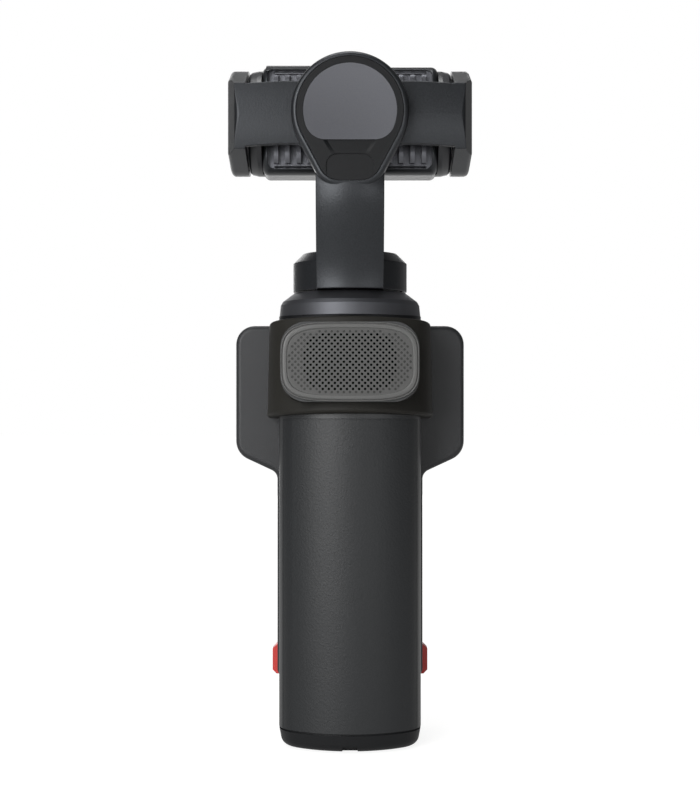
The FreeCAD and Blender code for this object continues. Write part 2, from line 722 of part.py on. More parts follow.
def arm_back(z):
    """How far the middle of the arm's back stands behind the pan axis at a height."""
    share = min(max((z - BLOCK_Z) / (ARM_SHOULDER_Z - BLOCK_Z), 0.0), 1.0)
    return ARM_FOOT_BACK + (ROLL_BACK - ARM_FOOT_BACK) * share * share * (3.0 - 2.0 * share)


def arm_crown():
    """The space under the arm's back, which is crowned from side to side all the way up."""
    wires = []
    for index in range(ARM_STATIONS + 1):
        z = BLOCK_Z + (ARM_SHOULDER_Z - BLOCK_Z) * index / ARM_STATIONS
        wires.append(crown_wire(z))
    low = Part.makeLoft(wires, True)
    high = Part.makeLoft([crown_wire(ARM_SHOULDER_Z), crown_wire(ROLL_Z)], True)
    return low.fuse(high)


def crown_wire(z):
    back = arm_back(z)
    side = back - ARM_CROWN
    left = FreeCAD.Vector(-ARM_HALF_WIDTH, -side, z)
    right = FreeCAD.Vector(ARM_HALF_WIDTH, -side, z)
    right_front = FreeCAD.Vector(ARM_HALF_WIDTH, 0.0, z)
    left_front = FreeCAD.Vector(-ARM_HALF_WIDTH, 0.0, z)
    return Part.Wire([
        Part.Arc(left, FreeCAD.Vector(0.0, -back, z), right).toShape(),
        Part.makeLine(right, right_front),
        Part.makeLine(right_front, left_front),
        Part.makeLine(left_front, left),
    ])


def make_roll_cover():
    cover = teardrop(COVER_RADIUS, COVER_DROP, COVER_CORNER, -ROLL_BACK, COVER_THICK - ROLL_BACK)
    cover = cover.cut(dial_blank(TOUCH_GAP / 2.0, -ROLL_BACK - 1.0, DIAL_THICK - ROLL_BACK))
    chin = prism(rectangle(-CHIN_HALF_WIDTH, CHIN_HALF_WIDTH, ROLL_Z - COVER_DROP - 5.0,
                           ROLL_Z - CHIN_TOP, 2.5), "xz", -ROLL_BACK - 1.0, CHIN_DEEP - ROLL_BACK)
    ramp = Part.makeLoft([
        ramp_wire(ROLL_Z - DIAL_FLAT, RAMP_HALF_WIDTH, RAMP_DEEP),
        ramp_wire(ROLL_Z - CHIN_TOP, RAMP_HALF_WIDTH - RAMP_TAPER, 0.02),
    ], True, True)
    return cover.cut([chin, ramp])


def ramp_wire(z, half, deep):
    """One end of the slope between the dial's flat side and the recess under it."""
    outside = -ROLL_BACK - 0.5
    floor = half - RAMP_SIDE
    corners = [(-half, outside), (half, outside), (half, -ROLL_BACK), (floor, deep - ROLL_BACK),
               (-floor, deep - ROLL_BACK), (-half, -ROLL_BACK), (-half, outside)]
    return Part.makePolygon([FreeCAD.Vector(x, y, z) for x, y in corners])


def dial_blank(gap, low, high):
    """The round insert in the cover, cut flat at its lower side."""
    blank = cylinder("xz", 0.0, ROLL_Z, DIAL_RADIUS + gap, low, high)
    lower = box(-DIAL_RADIUS - 1.0, DIAL_RADIUS + 1.0, low - 1.0, high + 1.0, ROLL_Z - DIAL_RADIUS - 1.0,
                ROLL_Z - DIAL_FLAT - gap)
    blank = blank.cut(lower)
    corners = [edge for edge in blank.Edges if edge.BoundBox.XLength < 0.01 and edge.BoundBox.ZLength < 0.01
               and edge.BoundBox.ZMax < ROLL_Z - DIAL_FLAT + 0.01]
    return blank.makeFillet(DIAL_CORNER + gap, corners)


def make_roll_dial():
    dial = dial_blank(0.0, -ROLL_BACK, DIAL_THICK - ROLL_BACK)
    sphere_radius = (DIAL_RADIUS ** 2 + DIAL_DISH ** 2) / (2.0 * DIAL_DISH)
    centre = FreeCAD.Vector(0.0, DIAL_DISH - ROLL_BACK - sphere_radius, ROLL_Z)
    return dial.cut(Part.makeSphere(sphere_radius, centre))


def make_roll_bearing():
    low = COVER_THICK + ROLL_WALL - ROLL_BACK
    return tube("xz", 0.0, ROLL_Z, SMALL_BEARING, SMALL_SHAFT + RUN_GAP, low, low + ROLL_STACK + TOUCH_GAP)


def make_roll_stator():
    low = COVER_THICK + ROLL_WALL - ROLL_BACK
    return slotted_core("xz", 0.0, ROLL_Z, ROLL_STATOR, SMALL_BEARING + SEAT_GAP, low, low + ROLL_STACK)


def make_roll_rotor():
    inner = ROLL_STATOR + AIR_GAP
    outer = ROLL_CAVITY - AIR_GAP
    disc = -ROLL_FRONT - PART_GAP
    low = COVER_THICK + ROLL_WALL - ROLL_BACK + PART_GAP
    rotor = tube("xz", 0.0, ROLL_Z, outer, inner, low, disc)
    rotor = rotor.fuse(cylinder("xz", 0.0, ROLL_Z, outer, disc, -BAR_BACK))
    return rotor.cut(cylinder("xz", 0.0, ROLL_Z, SMALL_SHAFT + SEAT_GAP, disc - 1.0, 0.0))


def make_roll_shaft():
    low = COVER_THICK + ROLL_WALL - ROLL_BACK + TOUCH_GAP
    return cylinder("xz", 0.0, ROLL_Z, SMALL_SHAFT, low, -BAR_FRONT - TOUCH_GAP)


def cheek_outline():
    """The yoke's side arm seen from the side: the bar's end drawn out to the round motor case."""
    ends = [(-BAR_BACK, ROLL_Z + BAR_TOP), (-BAR_BACK, ROLL_Z - BAR_BOTTOM)]
    touches = []
    for sign, (y, z) in zip((1.0, -1.0), ends):
        away = math.atan2(z - TILT_Z, y)
        reach = math.hypot(y, z - TILT_Z)
        swing = away - sign * math.acos(CHEEK_RADIUS / reach)
        touches.append((CHEEK_RADIUS * math.cos(swing), TILT_Z + CHEEK_RADIUS * math.sin(swing)))
    return ends, touches


def make_yoke_frame():
    flare_x = HUB_RADIUS + HUB_BLEND
    bar = prism([
        (-YOKE_HALF_WIDTH, ROLL_Z - BAR_BOTTOM, 0.0),
        (-flare_x, ROLL_Z - BAR_BOTTOM + BAR_FLARE, 0.0),
        (flare_x, ROLL_Z - BAR_BOTTOM + BAR_FLARE, 0.0),
        (YOKE_HALF_WIDTH, ROLL_Z - BAR_BOTTOM, 0.0),
        (YOKE_HALF_WIDTH, ROLL_Z + BAR_TOP, 0.0),
        (flare_x, ROLL_Z + BAR_TOP + BAR_FLARE, 0.0),
        (-flare_x, ROLL_Z + BAR_TOP + BAR_FLARE, 0.0),
        (-YOKE_HALF_WIDTH, ROLL_Z + BAR_TOP, 0.0),
    ], "xz", -BAR_BACK, -BAR_FRONT)
    bar = bar.common(cylinder("yz", BAR_CROWN - BAR_BACK, ROLL_Z, BAR_CROWN, -YOKE_HALF_WIDTH, YOKE_HALF_WIDTH))
    bar = bar.fuse(cylinder("xz", 0.0, ROLL_Z, HUB_RADIUS, -BAR_BACK, -BAR_FRONT)).removeSplitter()
    corners = [edge for edge in bar.Edges if is_hub_corner(edge)]
    bar = bar.makeFillet(HUB_BLEND, corners)
    (top, bottom), (top_touch, bottom_touch) = cheek_outline()
    cheek = prism([top + (0.0,), bottom + (0.0,), bottom_touch + (0.0,), (0.0, TILT_Z, 0.0),
                   top_touch + (0.0,)], "yz", CHEEK_INNER, YOKE_HALF_WIDTH)
    cheek = cheek.fuse(cylinder("yz", 0.0, TILT_Z, CHEEK_RADIUS, CHEEK_INNER, YOKE_HALF_WIDTH)).removeSplitter()
    outer = [edge for edge in cheek.Edges
             if edge.BoundBox.XMin > YOKE_HALF_WIDTH - 0.01 and edge.BoundBox.YMax > -BAR_BACK + 0.01]
    cheek = cheek.makeFillet(CHEEK_ROUND, outer)
    yoke = bar.common(box(-CHEEK_INNER, CHEEK_INNER, -BAR_BACK, -BAR_FRONT, 0.0, 2.0 * ROLL_Z))
    yoke = yoke.fuse([cheek, mirrored(cheek)]).removeSplitter()
    yoke = yoke.common(yoke_plan())
    yoke = yoke.cut(cylinder("xz", 0.0, ROLL_Z, SMALL_SHAFT + SEAT_GAP, -BAR_BACK - 1.0, -BAR_FRONT - TOUCH_GAP))
    lid_seat = cylinder("yz", 0.0, TILT_Z, LID_RADIUS + TOUCH_GAP, YOKE_HALF_WIDTH - LID_THICK, YOKE_HALF_WIDTH + 1.0)
    yoke = yoke.cut(lid_seat).cut(mirrored(lid_seat))
    motor = cylinder("yz", 0.0, TILT_Z, TILT_CAVITY, -YOKE_HALF_WIDTH + LID_THICK + TILT_WALL, 1.0 - CHEEK_INNER)
    yoke = yoke.cut(motor)
    bearing = cylinder("yz", 0.0, TILT_Z, SMALL_BEARING + SEAT_GAP, CHEEK_INNER - 1.0,
                       YOKE_HALF_WIDTH - LID_THICK - TILT_WALL)
    return yoke.cut(bearing)


def yoke_plan():
    """The yoke's outline from above, with its back corners slanted in and its back crowned."""
    back_half = YOKE_HALF_WIDTH - YOKE_CORNER_WIDTH
    plan = prism([
        (-back_half, -BAR_BACK, YOKE_CORNER_ROUND),
        (back_half, -BAR_BACK, YOKE_CORNER_ROUND),
        (YOKE_HALF_WIDTH, -YOKE_CORNER_Y, YOKE_CORNER_ROUND),
        (YOKE_HALF_WIDTH, BAR_BACK, 0.0),
        (-YOKE_HALF_WIDTH, BAR_BACK, 0.0),
        (-YOKE_HALF_WIDTH, -YOKE_CORNER_Y, YOKE_CORNER_ROUND),
    ], "xy", ROLL_Z - 2.0 * HUB_RADIUS, ROLL_Z + 2.0 * HUB_RADIUS)
    crown = cylinder("yz", BAR_CROWN - BAR_BACK, ROLL_Z, BAR_CROWN, -YOKE_HALF_WIDTH, YOKE_HALF_WIDTH)
    hub = cylinder("xz", 0.0, ROLL_Z, HUB_RADIUS + HUB_BLEND, -BAR_BACK, -BAR_FRONT)
    return plan.common(crown.fuse(hub))


def is_hub_corner(edge):
    """True for the four inside corners where the bar runs into its round hub."""
    limits = edge.BoundBox
    short = limits.XLength < 0.01 and limits.ZLength < 0.01
    return short and abs(limits.XMin) < HUB_RADIUS


def make_lid(left):
    """A domed cap over the end of a side arm."""
    inner = YOKE_HALF_WIDTH - LID_THICK
    lid = cylinder("yz", 0.0, TILT_Z, LID_RADIUS, inner, YOKE_HALF_WIDTH + LID_DOME)
    sphere_radius = (LID_RADIUS ** 2 + LID_DOME ** 2) / (2.0 * LID_DOME)
    ball = Part.makeSphere(sphere_radius, FreeCAD.Vector(YOKE_HALF_WIDTH + LID_DOME - sphere_radius, 0.0, TILT_Z))
    lid = lid.common(ball)
    return mirrored(lid) if left else lid


def make_tilt_stator():
    low = -YOKE_HALF_WIDTH + LID_THICK + TILT_WALL
    return slotted_core("yz", 0.0, TILT_Z, TILT_STATOR, SMALL_BEARING + SEAT_GAP, low, low + TILT_STACK)


def make_tilt_bearings():
    low = -YOKE_HALF_WIDTH + LID_THICK + TILT_WALL
    left = tube("yz", 0.0, TILT_Z, SMALL_BEARING, SMALL_SHAFT + RUN_GAP, low, low + TILT_STACK)
    right = tube("yz", 0.0, TILT_Z, SMALL_BEARING, SMALL_SHAFT + RUN_GAP, -low - TILT_BEARING_LONG, -low)
    return Part.makeCompound([left, right])


def make_tilt_rotor():
    inner = TILT_STATOR + AIR_GAP
    outer = TILT_CAVITY - PART_GAP
    low = -YOKE_HALF_WIDTH + LID_THICK + TILT_WALL + PART_GAP
    disc = low + TILT_STACK
    rotor = tube("yz", 0.0, TILT_Z, outer, inner, low, disc)
    rotor = rotor.fuse(cylinder("yz", 0.0, TILT_Z, outer, disc, -BARREL_END))
    return rotor.cut(cylinder("yz", 0.0, TILT_Z, SMALL_SHAFT + SEAT_GAP, disc - 1.0, 0.0))


def make_tilt_shafts():
    outer = YOKE_HALF_WIDTH - LID_THICK - TILT_WALL - TOUCH_GAP
    right = cylinder("yz", 0.0, TILT_Z, SMALL_SHAFT, BARREL_END - 1.8, outer)
    return Part.makeCompound([mirrored(right), right])


def head_blank():
    """The camera head's whole outside, before it is split into its rear and front shells."""
    body = prism([
        (-HEAD_BACK, TILT_Z - HEAD_HALF_HEIGHT, HEAD_BACK_ROUND),
        (HEAD_FRONT, TILT_Z - HEAD_HALF_HEIGHT, HEAD_FRONT_ROUND),
        (HEAD_FRONT, TILT_Z + HEAD_HALF_HEIGHT, HEAD_FRONT_ROUND),
        (-HEAD_BACK, TILT_Z + HEAD_HALF_HEIGHT, HEAD_BACK_ROUND),
    ], "yz", -HEAD_HALF_WIDTH, HEAD_HALF_WIDTH)
    ends = [edge for edge in body.Edges if edge.BoundBox.XLength < 0.01]
    body = body.makeFillet(HEAD_END_ROUND, ends)
    hump = cylinder("yz", 0.0, TILT_Z, HUMP_RADIUS, -HUMP_LEFT, HUMP_RIGHT)
    hump = hump.common(box(-HUMP_LEFT, HUMP_RIGHT, -HUMP_RADIUS, HUMP_RADIUS, TILT_Z + HUMP_LOW,
                           TILT_Z + HUMP_RADIUS + 1.0))
    return body.fuse(hump).removeSplitter()


def make_head_rear_shell():
    shell = head_blank().common(box(-HEAD_HALF_WIDTH, HEAD_HALF_WIDTH, -HEAD_BACK - 1.0, HEAD_SPLIT, 0.0, 200.0))
    inner_x = HEAD_HALF_WIDTH - HEAD_SIDE_WALL
    inner_z = HEAD_HALF_HEIGHT - HEAD_REAR_WALL
    shell = shell.cut(box(-inner_x, inner_x, VENT_DEEP - HEAD_BACK, HEAD_SPLIT + 1.0, TILT_Z - inner_z, TILT_Z + inner_z))
    window = prism(rectangle(-VENT_HALF_WIDTH, VENT_HALF_WIDTH, TILT_Z - VENT_HALF_HEIGHT,
                             TILT_Z + VENT_HALF_HEIGHT, VENT_CORNER), "xz", -HEAD_BACK - 1.0, HEAD_SPLIT)
    return shell.cut(window)


def make_heat_sink():
    floor = VENT_DEEP - HEAD_BACK
    half_x = HEAD_HALF_WIDTH - HEAD_SIDE_WALL - TOUCH_GAP
    half_z = HEAD_HALF_HEIGHT - HEAD_REAR_WALL - TOUCH_GAP
    sink = box(-half_x, half_x, floor, floor + SINK_PLATE, TILT_Z - half_z, TILT_Z + half_z)
    for index in range(FIN_COUNT):
        x = (index - (FIN_COUNT - 1) / 2.0) * FIN_PITCH
        fin = box(x - FIN_THICK / 2.0, x + FIN_THICK / 2.0, floor - FIN_TALL, floor,
                  TILT_Z - FIN_HALF_HEIGHT, TILT_Z + FIN_HALF_HEIGHT)
        sink = sink.fuse(fin)
        for side in (-1.0, 1.0):
            middle = TILT_Z + side * (FIN_HALF_HEIGHT + LEDGE_GAP + PAD_HEIGHT)
            pad = box(x - PAD_WIDTH / 2.0, x + PAD_WIDTH / 2.0, floor - LEDGE_TALL - PAD_PROUD, floor,
                      middle - PAD_HEIGHT / 2.0, middle + PAD_HEIGHT / 2.0)
            sink = sink.fuse(pad)
    ledge_x = VENT_HALF_WIDTH - VENT_CORNER - LEDGE_GAP
    ledge = box(-ledge_x, ledge_x, floor - LEDGE_TALL, floor, TILT_Z + FIN_HALF_HEIGHT + LEDGE_GAP,
                TILT_Z + VENT_HALF_HEIGHT - LEDGE_GAP)
    lower = ledge.mirror(FreeCAD.Vector(0.0, 0.0, TILT_Z), FreeCAD.Vector(0.0, 0.0, 1.0))
    sink = sink.fuse([ledge, lower])
    skin = rectangle(SINK_INSET - HEAD_BACK, HEAD_BACK, TILT_Z - HEAD_HALF_HEIGHT + SINK_INSET,
                     TILT_Z + HEAD_HALF_HEIGHT - SINK_INSET, HEAD_BACK_ROUND - SINK_INSET)
    return sink.common(prism(skin, "yz", -HEAD_HALF_WIDTH, HEAD_HALF_WIDTH)).removeSplitter()


def lens_places():
    """Each lens's middle, ring radius and height over the island."""
    return ((MAIN_X, MAIN_RADIUS, MAIN_TALL), (TELE_X, TELE_RADIUS, TELE_TALL))


def make_head_front_shell():
    shell = head_blank().common(box(-HEAD_HALF_WIDTH, HEAD_HALF_WIDTH, HEAD_SPLIT, HEAD_FRONT + 1.0, 0.0, 200.0))
    island = prism(rectangle(ISLAND_LEFT, ISLAND_RIGHT, TILT_Z - ISLAND_HALF_HEIGHT,
                             TILT_Z + ISLAND_HALF_HEIGHT, ISLAND_HALF_HEIGHT - 0.01), "xz", HEAD_FRONT - 1.0, ISLAND_Y)
    shell = shell.fuse(island)
    flare_x = HEAD_HALF_WIDTH + BARREL_LENGTH / 3.0
    barrel = turned([(0.0, HEAD_HALF_WIDTH - HEAD_END_ROUND), (CHEEK_RADIUS, HEAD_HALF_WIDTH - HEAD_END_ROUND),
                     (CHEEK_RADIUS, flare_x), (CHEEK_RADIUS - BARREL_FLARE, BARREL_END - 0.5),
                     (CHEEK_RADIUS - BARREL_FLARE - 0.5, BARREL_END), (0.0, BARREL_END)], "yz", 0.0, TILT_Z)
    barrel = barrel.common(box(HEAD_HALF_WIDTH - HEAD_END_ROUND, BARREL_END, HEAD_SPLIT, HEAD_BACK + HEAD_BACK, 0.0, 200.0).fuse(
        box(HEAD_HALF_WIDTH, BARREL_END, -HEAD_BACK - HEAD_BACK, HEAD_BACK + HEAD_BACK, 0.0, 200.0)))
    shell = shell.fuse([barrel, mirrored(barrel)]).removeSplitter()
    inner_x = HEAD_HALF_WIDTH - HEAD_WALL
    inner_z = HEAD_HALF_HEIGHT - HEAD_WALL
    front = HEAD_FRONT - HEAD_WALL
    cavity = prism(rectangle(HEAD_SPLIT - 5.0, front, TILT_Z - inner_z, TILT_Z + inner_z, 4.0), "yz", -inner_x, inner_x)
    cavity = cavity.common(box(-inner_x, inner_x, HEAD_SPLIT, front, 0.0, 200.0))
    shell = shell.cut(cavity)
    for x, radius, _tall in lens_places():
        bore = radius - LENS_RIM - TOUCH_GAP
        shell = shell.cut(cylinder("xz", x, TILT_Z, bore, front - 1.0, ISLAND_Y + 1.0))
    stub = cylinder("yz", 0.0, TILT_Z, SMALL_SHAFT + SEAT_GAP, BARREL_END - 1.8, BARREL_END + 1.0)
    return shell.cut(stub).cut(mirrored(stub))


def make_lens_ring(x, radius, tall):
    rim = radius - LENS_RIM
    high = ISLAND_Y + tall
    profile = [(rim - TOUCH_GAP, ISLAND_Y), (radius, ISLAND_Y), (radius, high - 0.5), (radius - 0.5, high),
               (rim + 0.3, high), (rim, high - LENS_SINK)]
    return turned(profile, "xz", x, TILT_Z)


def make_lens_glass(x, radius, tall):
    outer = radius - LENS_RIM - 2.0 * TOUCH_GAP
    high = ISLAND_Y + tall - LENS_SINK
    glass = cylinder("xz", x, TILT_Z, outer, high - GLASS_THICK, high)
    sphere_radius = (outer ** 2 + 0.3 ** 2) / (2.0 * 0.3)
    ball = Part.makeSphere(sphere_radius, FreeCAD.Vector(x, high - sphere_radius, TILT_Z))
    return glass.common(ball)


def make_lens_barrel(x, radius, tall):
    outer = radius - LENS_RIM - 2.0 * TOUCH_GAP
    high = ISLAND_Y + tall - LENS_SINK - GLASS_THICK - TOUCH_GAP
    low = SENSOR_Y + SENSOR_THICK
    profile = [(outer * 0.62, low), (outer, low), (outer, high), (outer - 0.6, high), (outer * 0.62, high - 1.6)]
    return turned(profile, "xz", x, TILT_Z)


def make_image_sensors():
    boards = []
    for x, radius, _tall in lens_places():
        half = radius - LENS_RIM + SENSOR_MARGIN
        board = box(x - half, x + half, SENSOR_Y, SENSOR_Y + SENSOR_THICK, TILT_Z - half, TILT_Z + half)
        boards.append(board)
    return Part.makeCompound(boards)


def remote_outline(inset):
    """The remote's T shape: a wide screen head on sloping shoulders over the stem."""
    stem = STEM_HALF_WIDTH - inset
    wing = WING_HALF_WIDTH - inset
    lift = inset / math.cos(WING_SLOPE)
    meet = WING_MEET_Z + lift - inset * math.tan(WING_SLOPE)
    shoulder = WING_MEET_Z + lift + (wing - STEM_HALF_WIDTH) * math.tan(WING_SLOPE)
    low = REMOTE_LOW + inset
    top = REMOTE_TOP - inset
    foot_round = max(STEM_ROUND - inset, 0.6)
    return [
        (-stem, low, foot_round),
        (stem, low, foot_round),
        (stem, meet, WING_INNER_ROUND + inset),
        (wing, shoulder, WING_LOW_ROUND - inset),
        (wing, top, WING_TOP_ROUND - inset),
        (-wing, top, WING_TOP_ROUND - inset),
        (-wing, shoulder, WING_LOW_ROUND - inset),
        (-stem, meet, WING_INNER_ROUND + inset),
    ]


def release_window():
    """The window in the remote's right side for a squeeze button."""
    gap = RELEASE_GAP
    return box(HOOK_X + 1.0, STEM_HALF_WIDTH + 1.0, RELEASE_LOW_Y - gap, RELEASE_HIGH_Y + gap,
               RELEASE_LOW - gap, RELEASE_LOW + RELEASE_HEIGHT + gap)


def make_remote_back_shell():
    shell = prism(remote_outline(0.0), "xz", REMOTE_BACK, REMOTE_SPLIT)
    rim = [edge for edge in shell.Edges if edge.BoundBox.YMax < REMOTE_BACK + 0.01]
    shell = shell.makeFillet(REMOTE_BACK_ROUND, rim)
    shell = shell.cut(prism(remote_outline(REMOTE_WALL), "xz", REMOTE_BACK + REMOTE_WALL, REMOTE_SPLIT + 1.0))
    middle = RELEASE_LOW + RELEASE_HEIGHT / 2.0
    rib = box(RIB_X - RIB_THICK, RIB_X, REMOTE_BACK + REMOTE_WALL - 0.3, REMOTE_SPLIT, middle - 2.5, middle + 2.5)
    shell = shell.fuse([rib, mirrored(rib)])
    window = release_window()
    slot = hook_slot(REMOTE_BACK - 1.0, REMOTE_BACK + REMOTE_WALL + 0.5)
    return shell.cut([window, mirrored(window), slot, mirrored(slot)])


def button_places():
    """The middle and half sizes of the two small buttons on the remote's face."""
    return ((-PILL_X, PILL_Z), (PILL_X, PILL_Z))


def pill(x, z, grow, low, high):
    """A small button's rounded outline between two depths."""
    half_x = PILL_HALF_WIDTH + grow
    half_z = PILL_HALF_HEIGHT + grow
    return prism(rectangle(x - half_x, x + half_x, z - half_z, z + half_z, half_z - 0.01), "xz", low, high)


def make_remote_front_shell():
    shell = prism(remote_outline(0.0), "xz", REMOTE_SPLIT, REMOTE_FRONT)
    rim = [edge for edge in shell.Edges if edge.BoundBox.YMin > REMOTE_FRONT - 0.01]
    shell = shell.makeFillet(REMOTE_FRONT_ROUND, rim)
    shell = shell.cut(prism(remote_outline(REMOTE_WALL), "xz", REMOTE_SPLIT - 1.0, FACE_FLOOR))
    sleeve = tube("xz", 0.0, STICK_Z, SLEEVE_INNER + SLEEVE_WALL, SLEEVE_INNER, REMOTE_SPLIT + 0.2, FACE_FLOOR)
    shell = shell.fuse(sleeve)
    pins = cylinder("yz", STICK_PIVOT_Y, STICK_Z, PIVOT_PIN + RUN_GAP, -SLEEVE_INNER - 2.0, SLEEVE_INNER + 2.0)
    shell = shell.cut(pins)
    shell = shell.cut(cylinder("xz", 0.0, STICK_Z, STICK_HOLE, FACE_FLOOR, REMOTE_FRONT + 1.0))
    shell = shell.cut(cylinder("xz", 0.0, RECORD_Z, RECORD_RADIUS + BUTTON_GAP, FACE_FLOOR - 1.0, REMOTE_FRONT + 1.0))
    for x, z in button_places():
        shell = shell.cut(pill(x, z, BUTTON_GAP, FACE_FLOOR - 1.0, REMOTE_FRONT + 1.0))
    seat = prism(rectangle(-GLASS_HALF_WIDTH - TOUCH_GAP, GLASS_HALF_WIDTH + TOUCH_GAP, GLASS_LOW - TOUCH_GAP,
                           GLASS_TOP + TOUCH_GAP, GLASS_CORNER), "xz", REMOTE_FRONT - SCREEN_GLASS_THICK, REMOTE_FRONT + 1.0)
    middle = (GLASS_LOW + GLASS_TOP) / 2.0
    opening = box(-PANEL_HALF_WIDTH - TOUCH_GAP, PANEL_HALF_WIDTH + TOUCH_GAP, REMOTE_SPLIT, REMOTE_FRONT,
                  middle - PANEL_HALF_HEIGHT - TOUCH_GAP, middle + PANEL_HALF_HEIGHT + TOUCH_GAP)
    window = release_window()
    return shell.cut([seat, opening, window, mirrored(window)])


def make_screen_glass():
    corners = rectangle(-GLASS_HALF_WIDTH, GLASS_HALF_WIDTH, GLASS_LOW, GLASS_TOP, GLASS_CORNER)
    return prism(corners, "xz", REMOTE_FRONT - SCREEN_GLASS_THICK, REMOTE_FRONT)


def make_screen_panel():
    middle = (GLASS_LOW + GLASS_TOP) / 2.0
    front = REMOTE_FRONT - SCREEN_GLASS_THICK
    return box(-PANEL_HALF_WIDTH, PANEL_HALF_WIDTH, front - PANEL_THICK, front, middle - PANEL_HALF_HEIGHT,
               middle + PANEL_HALF_HEIGHT)


def make_remote_cell():
    middle = (GLASS_LOW + GLASS_TOP) / 2.0
    low = REMOTE_BACK + REMOTE_WALL
    high = REMOTE_FRONT - SCREEN_GLASS_THICK - PANEL_THICK - PART_GAP
    corners = rectangle(-REMOTE_CELL_HALF_WIDTH, REMOTE_CELL_HALF_WIDTH, middle - REMOTE_CELL_HALF_HEIGHT,
                        middle + REMOTE_CELL_HALF_HEIGHT, 2.0)
    return prism(corners, "xz", low, high)


def make_remote_board():
    high = REMOTE_BOARD_BACK + BOARD_THICK
    board = box(-REMOTE_BOARD_HALF_WIDTH - 4.0, REMOTE_BOARD_HALF_WIDTH + 4.0, REMOTE_BOARD_BACK, high,
                REMOTE_BOARD_LOW, REMOTE_BOARD_TOP)
    for z in (REMOTE_BOARD_LOW + 3.0, REMOTE_BOARD_TOP - 3.0):
        board = board.fuse(cylinder("xz", 0.0, z, 2.0, REMOTE_BACK + REMOTE_WALL, REMOTE_BOARD_BACK))
    button_back = FACE_FLOOR - BUTTON_GAP - BUTTON_FLANGE - BUTTON_TRAVEL - TOUCH_GAP
    spots = [(0.0, RECORD_Z)] + list(button_places())
    for x, z in spots:
        board = board.fuse(cylinder("xz", x, z, SWITCH_RADIUS, high, button_back))
    return board


def make_stick_cradle():
    half = CRADLE_THICK / 2.0
    cradle = tube("xz", 0.0, STICK_Z, CRADLE_OUTER, CRADLE_INNER, STICK_PIVOT_Y - half, STICK_PIVOT_Y + half)
    for side in (-1.0, 1.0):
        ends = sorted((side * (CRADLE_INNER + 0.3), side * (SLEEVE_INNER + SLEEVE_WALL - TOUCH_GAP)))
        cradle = cradle.fuse(cylinder("yz", STICK_PIVOT_Y, STICK_Z, PIVOT_PIN, ends[0], ends[1]))
    holes = cylinder("xy", 0.0, STICK_PIVOT_Y, PIVOT_PIN + RUN_GAP, STICK_Z - CRADLE_OUTER - 1.0,
                     STICK_Z + CRADLE_OUTER + 1.0)
    return cradle.cut(holes)


def make_stick_cap():
    high = STICK_CAP_Y + STICK_CAP_THICK
    low = STICK_PIVOT_Y - STICK_FOOT
    profile = [(0.0, low), (STICK_STEM, low), (STICK_STEM, STICK_CAP_Y),
               (STICK_CAP_RADIUS - 0.4, STICK_CAP_Y), (STICK_CAP_RADIUS, STICK_CAP_Y + 0.4),
               (STICK_CAP_RADIUS, high - 0.4), (STICK_CAP_RADIUS - 0.4, high), (STICK_CAP_RADIUS - 1.2, high),
               (STICK_CAP_RADIUS - 2.4, high - STICK_DISH), (0.0, high - STICK_DISH)]
    stick = turned(profile, "xz", 0.0, STICK_Z)
    reach = CRADLE_OUTER - TOUCH_GAP
    return stick.fuse(cylinder("xy", 0.0, STICK_PIVOT_Y, PIVOT_PIN, STICK_Z - reach, STICK_Z + reach))


def make_record_button():
    flange_high = FACE_FLOOR - BUTTON_GAP
    flange_low = flange_high - BUTTON_FLANGE
    high = REMOTE_FRONT + BUTTON_PROUD
    profile = [(0.0, flange_low), (RECORD_RADIUS + 0.8, flange_low), (RECORD_RADIUS + 0.8, flange_high),
               (RECORD_RADIUS, flange_high), (RECORD_RADIUS, high - 0.4), (RECORD_RADIUS - 0.4, high), (0.0, high)]
    return turned(profile, "xz", 0.0, RECORD_Z)


def make_pill_button(x, z):
    flange_high = FACE_FLOOR - BUTTON_GAP
    flange = pill(x, z, 0.8, flange_high - BUTTON_FLANGE, flange_high)
    return flange.fuse(pill(x, z, 0.0, flange_high, REMOTE_FRONT + BUTTON_PROUD * 0.6))


def make_release_button(left):
    """A squeeze button with its hook, drawn for the right side."""
    low = RELEASE_LOW
    high = RELEASE_LOW + RELEASE_HEIGHT
    middle = (low + high) / 2.0
    inside = STEM_HALF_WIDTH - REMOTE_WALL
    pad = prism([
        (inside - 2.4, low, 0.0),
        (RELEASE_OUT - RELEASE_EDGE, low, 0.0),
        (RELEASE_OUT, low + RELEASE_EDGE, 0.0),
        (RELEASE_OUT, high - RELEASE_EDGE, 0.0),
        (RELEASE_OUT - RELEASE_EDGE, high, 0.0),
        (inside - 2.4, high, 0.0),
    ], "xz", RELEASE_LOW_Y, RELEASE_HIGH_Y)
    flange = box(inside - 1.4, inside - RELEASE_GAP, RELEASE_LOW_Y - 0.6, RELEASE_HIGH_Y,
                 low + RELEASE_EDGE + TOUCH_GAP, high + RELEASE_LIP)
    block = box(HOOK_X, inside - 1.4, RELEASE_LOW_Y, RELEASE_LOW_Y + 2.0, middle - HOOK_HALF_HEIGHT,
                middle + HOOK_HALF_HEIGHT)
    tip = DOCK_BACK - PART_GAP - HOOK_HEAD + TOUCH_GAP
    hook = box(HOOK_X, HOOK_X + HOOK_THICK, tip, RELEASE_LOW_Y + 2.0, middle - HOOK_HALF_HEIGHT,
               middle + HOOK_HALF_HEIGHT)
    catch = box(HOOK_X, HOOK_X + HOOK_THICK + TOUCH_GAP + HOOK_CATCH, tip, tip + HOOK_HEAD,
                middle - HOOK_HALF_HEIGHT, middle + HOOK_HALF_HEIGHT)
    button = pad.fuse([flange, block, hook, catch]).removeSplitter()
    return mirrored(button) if left else button


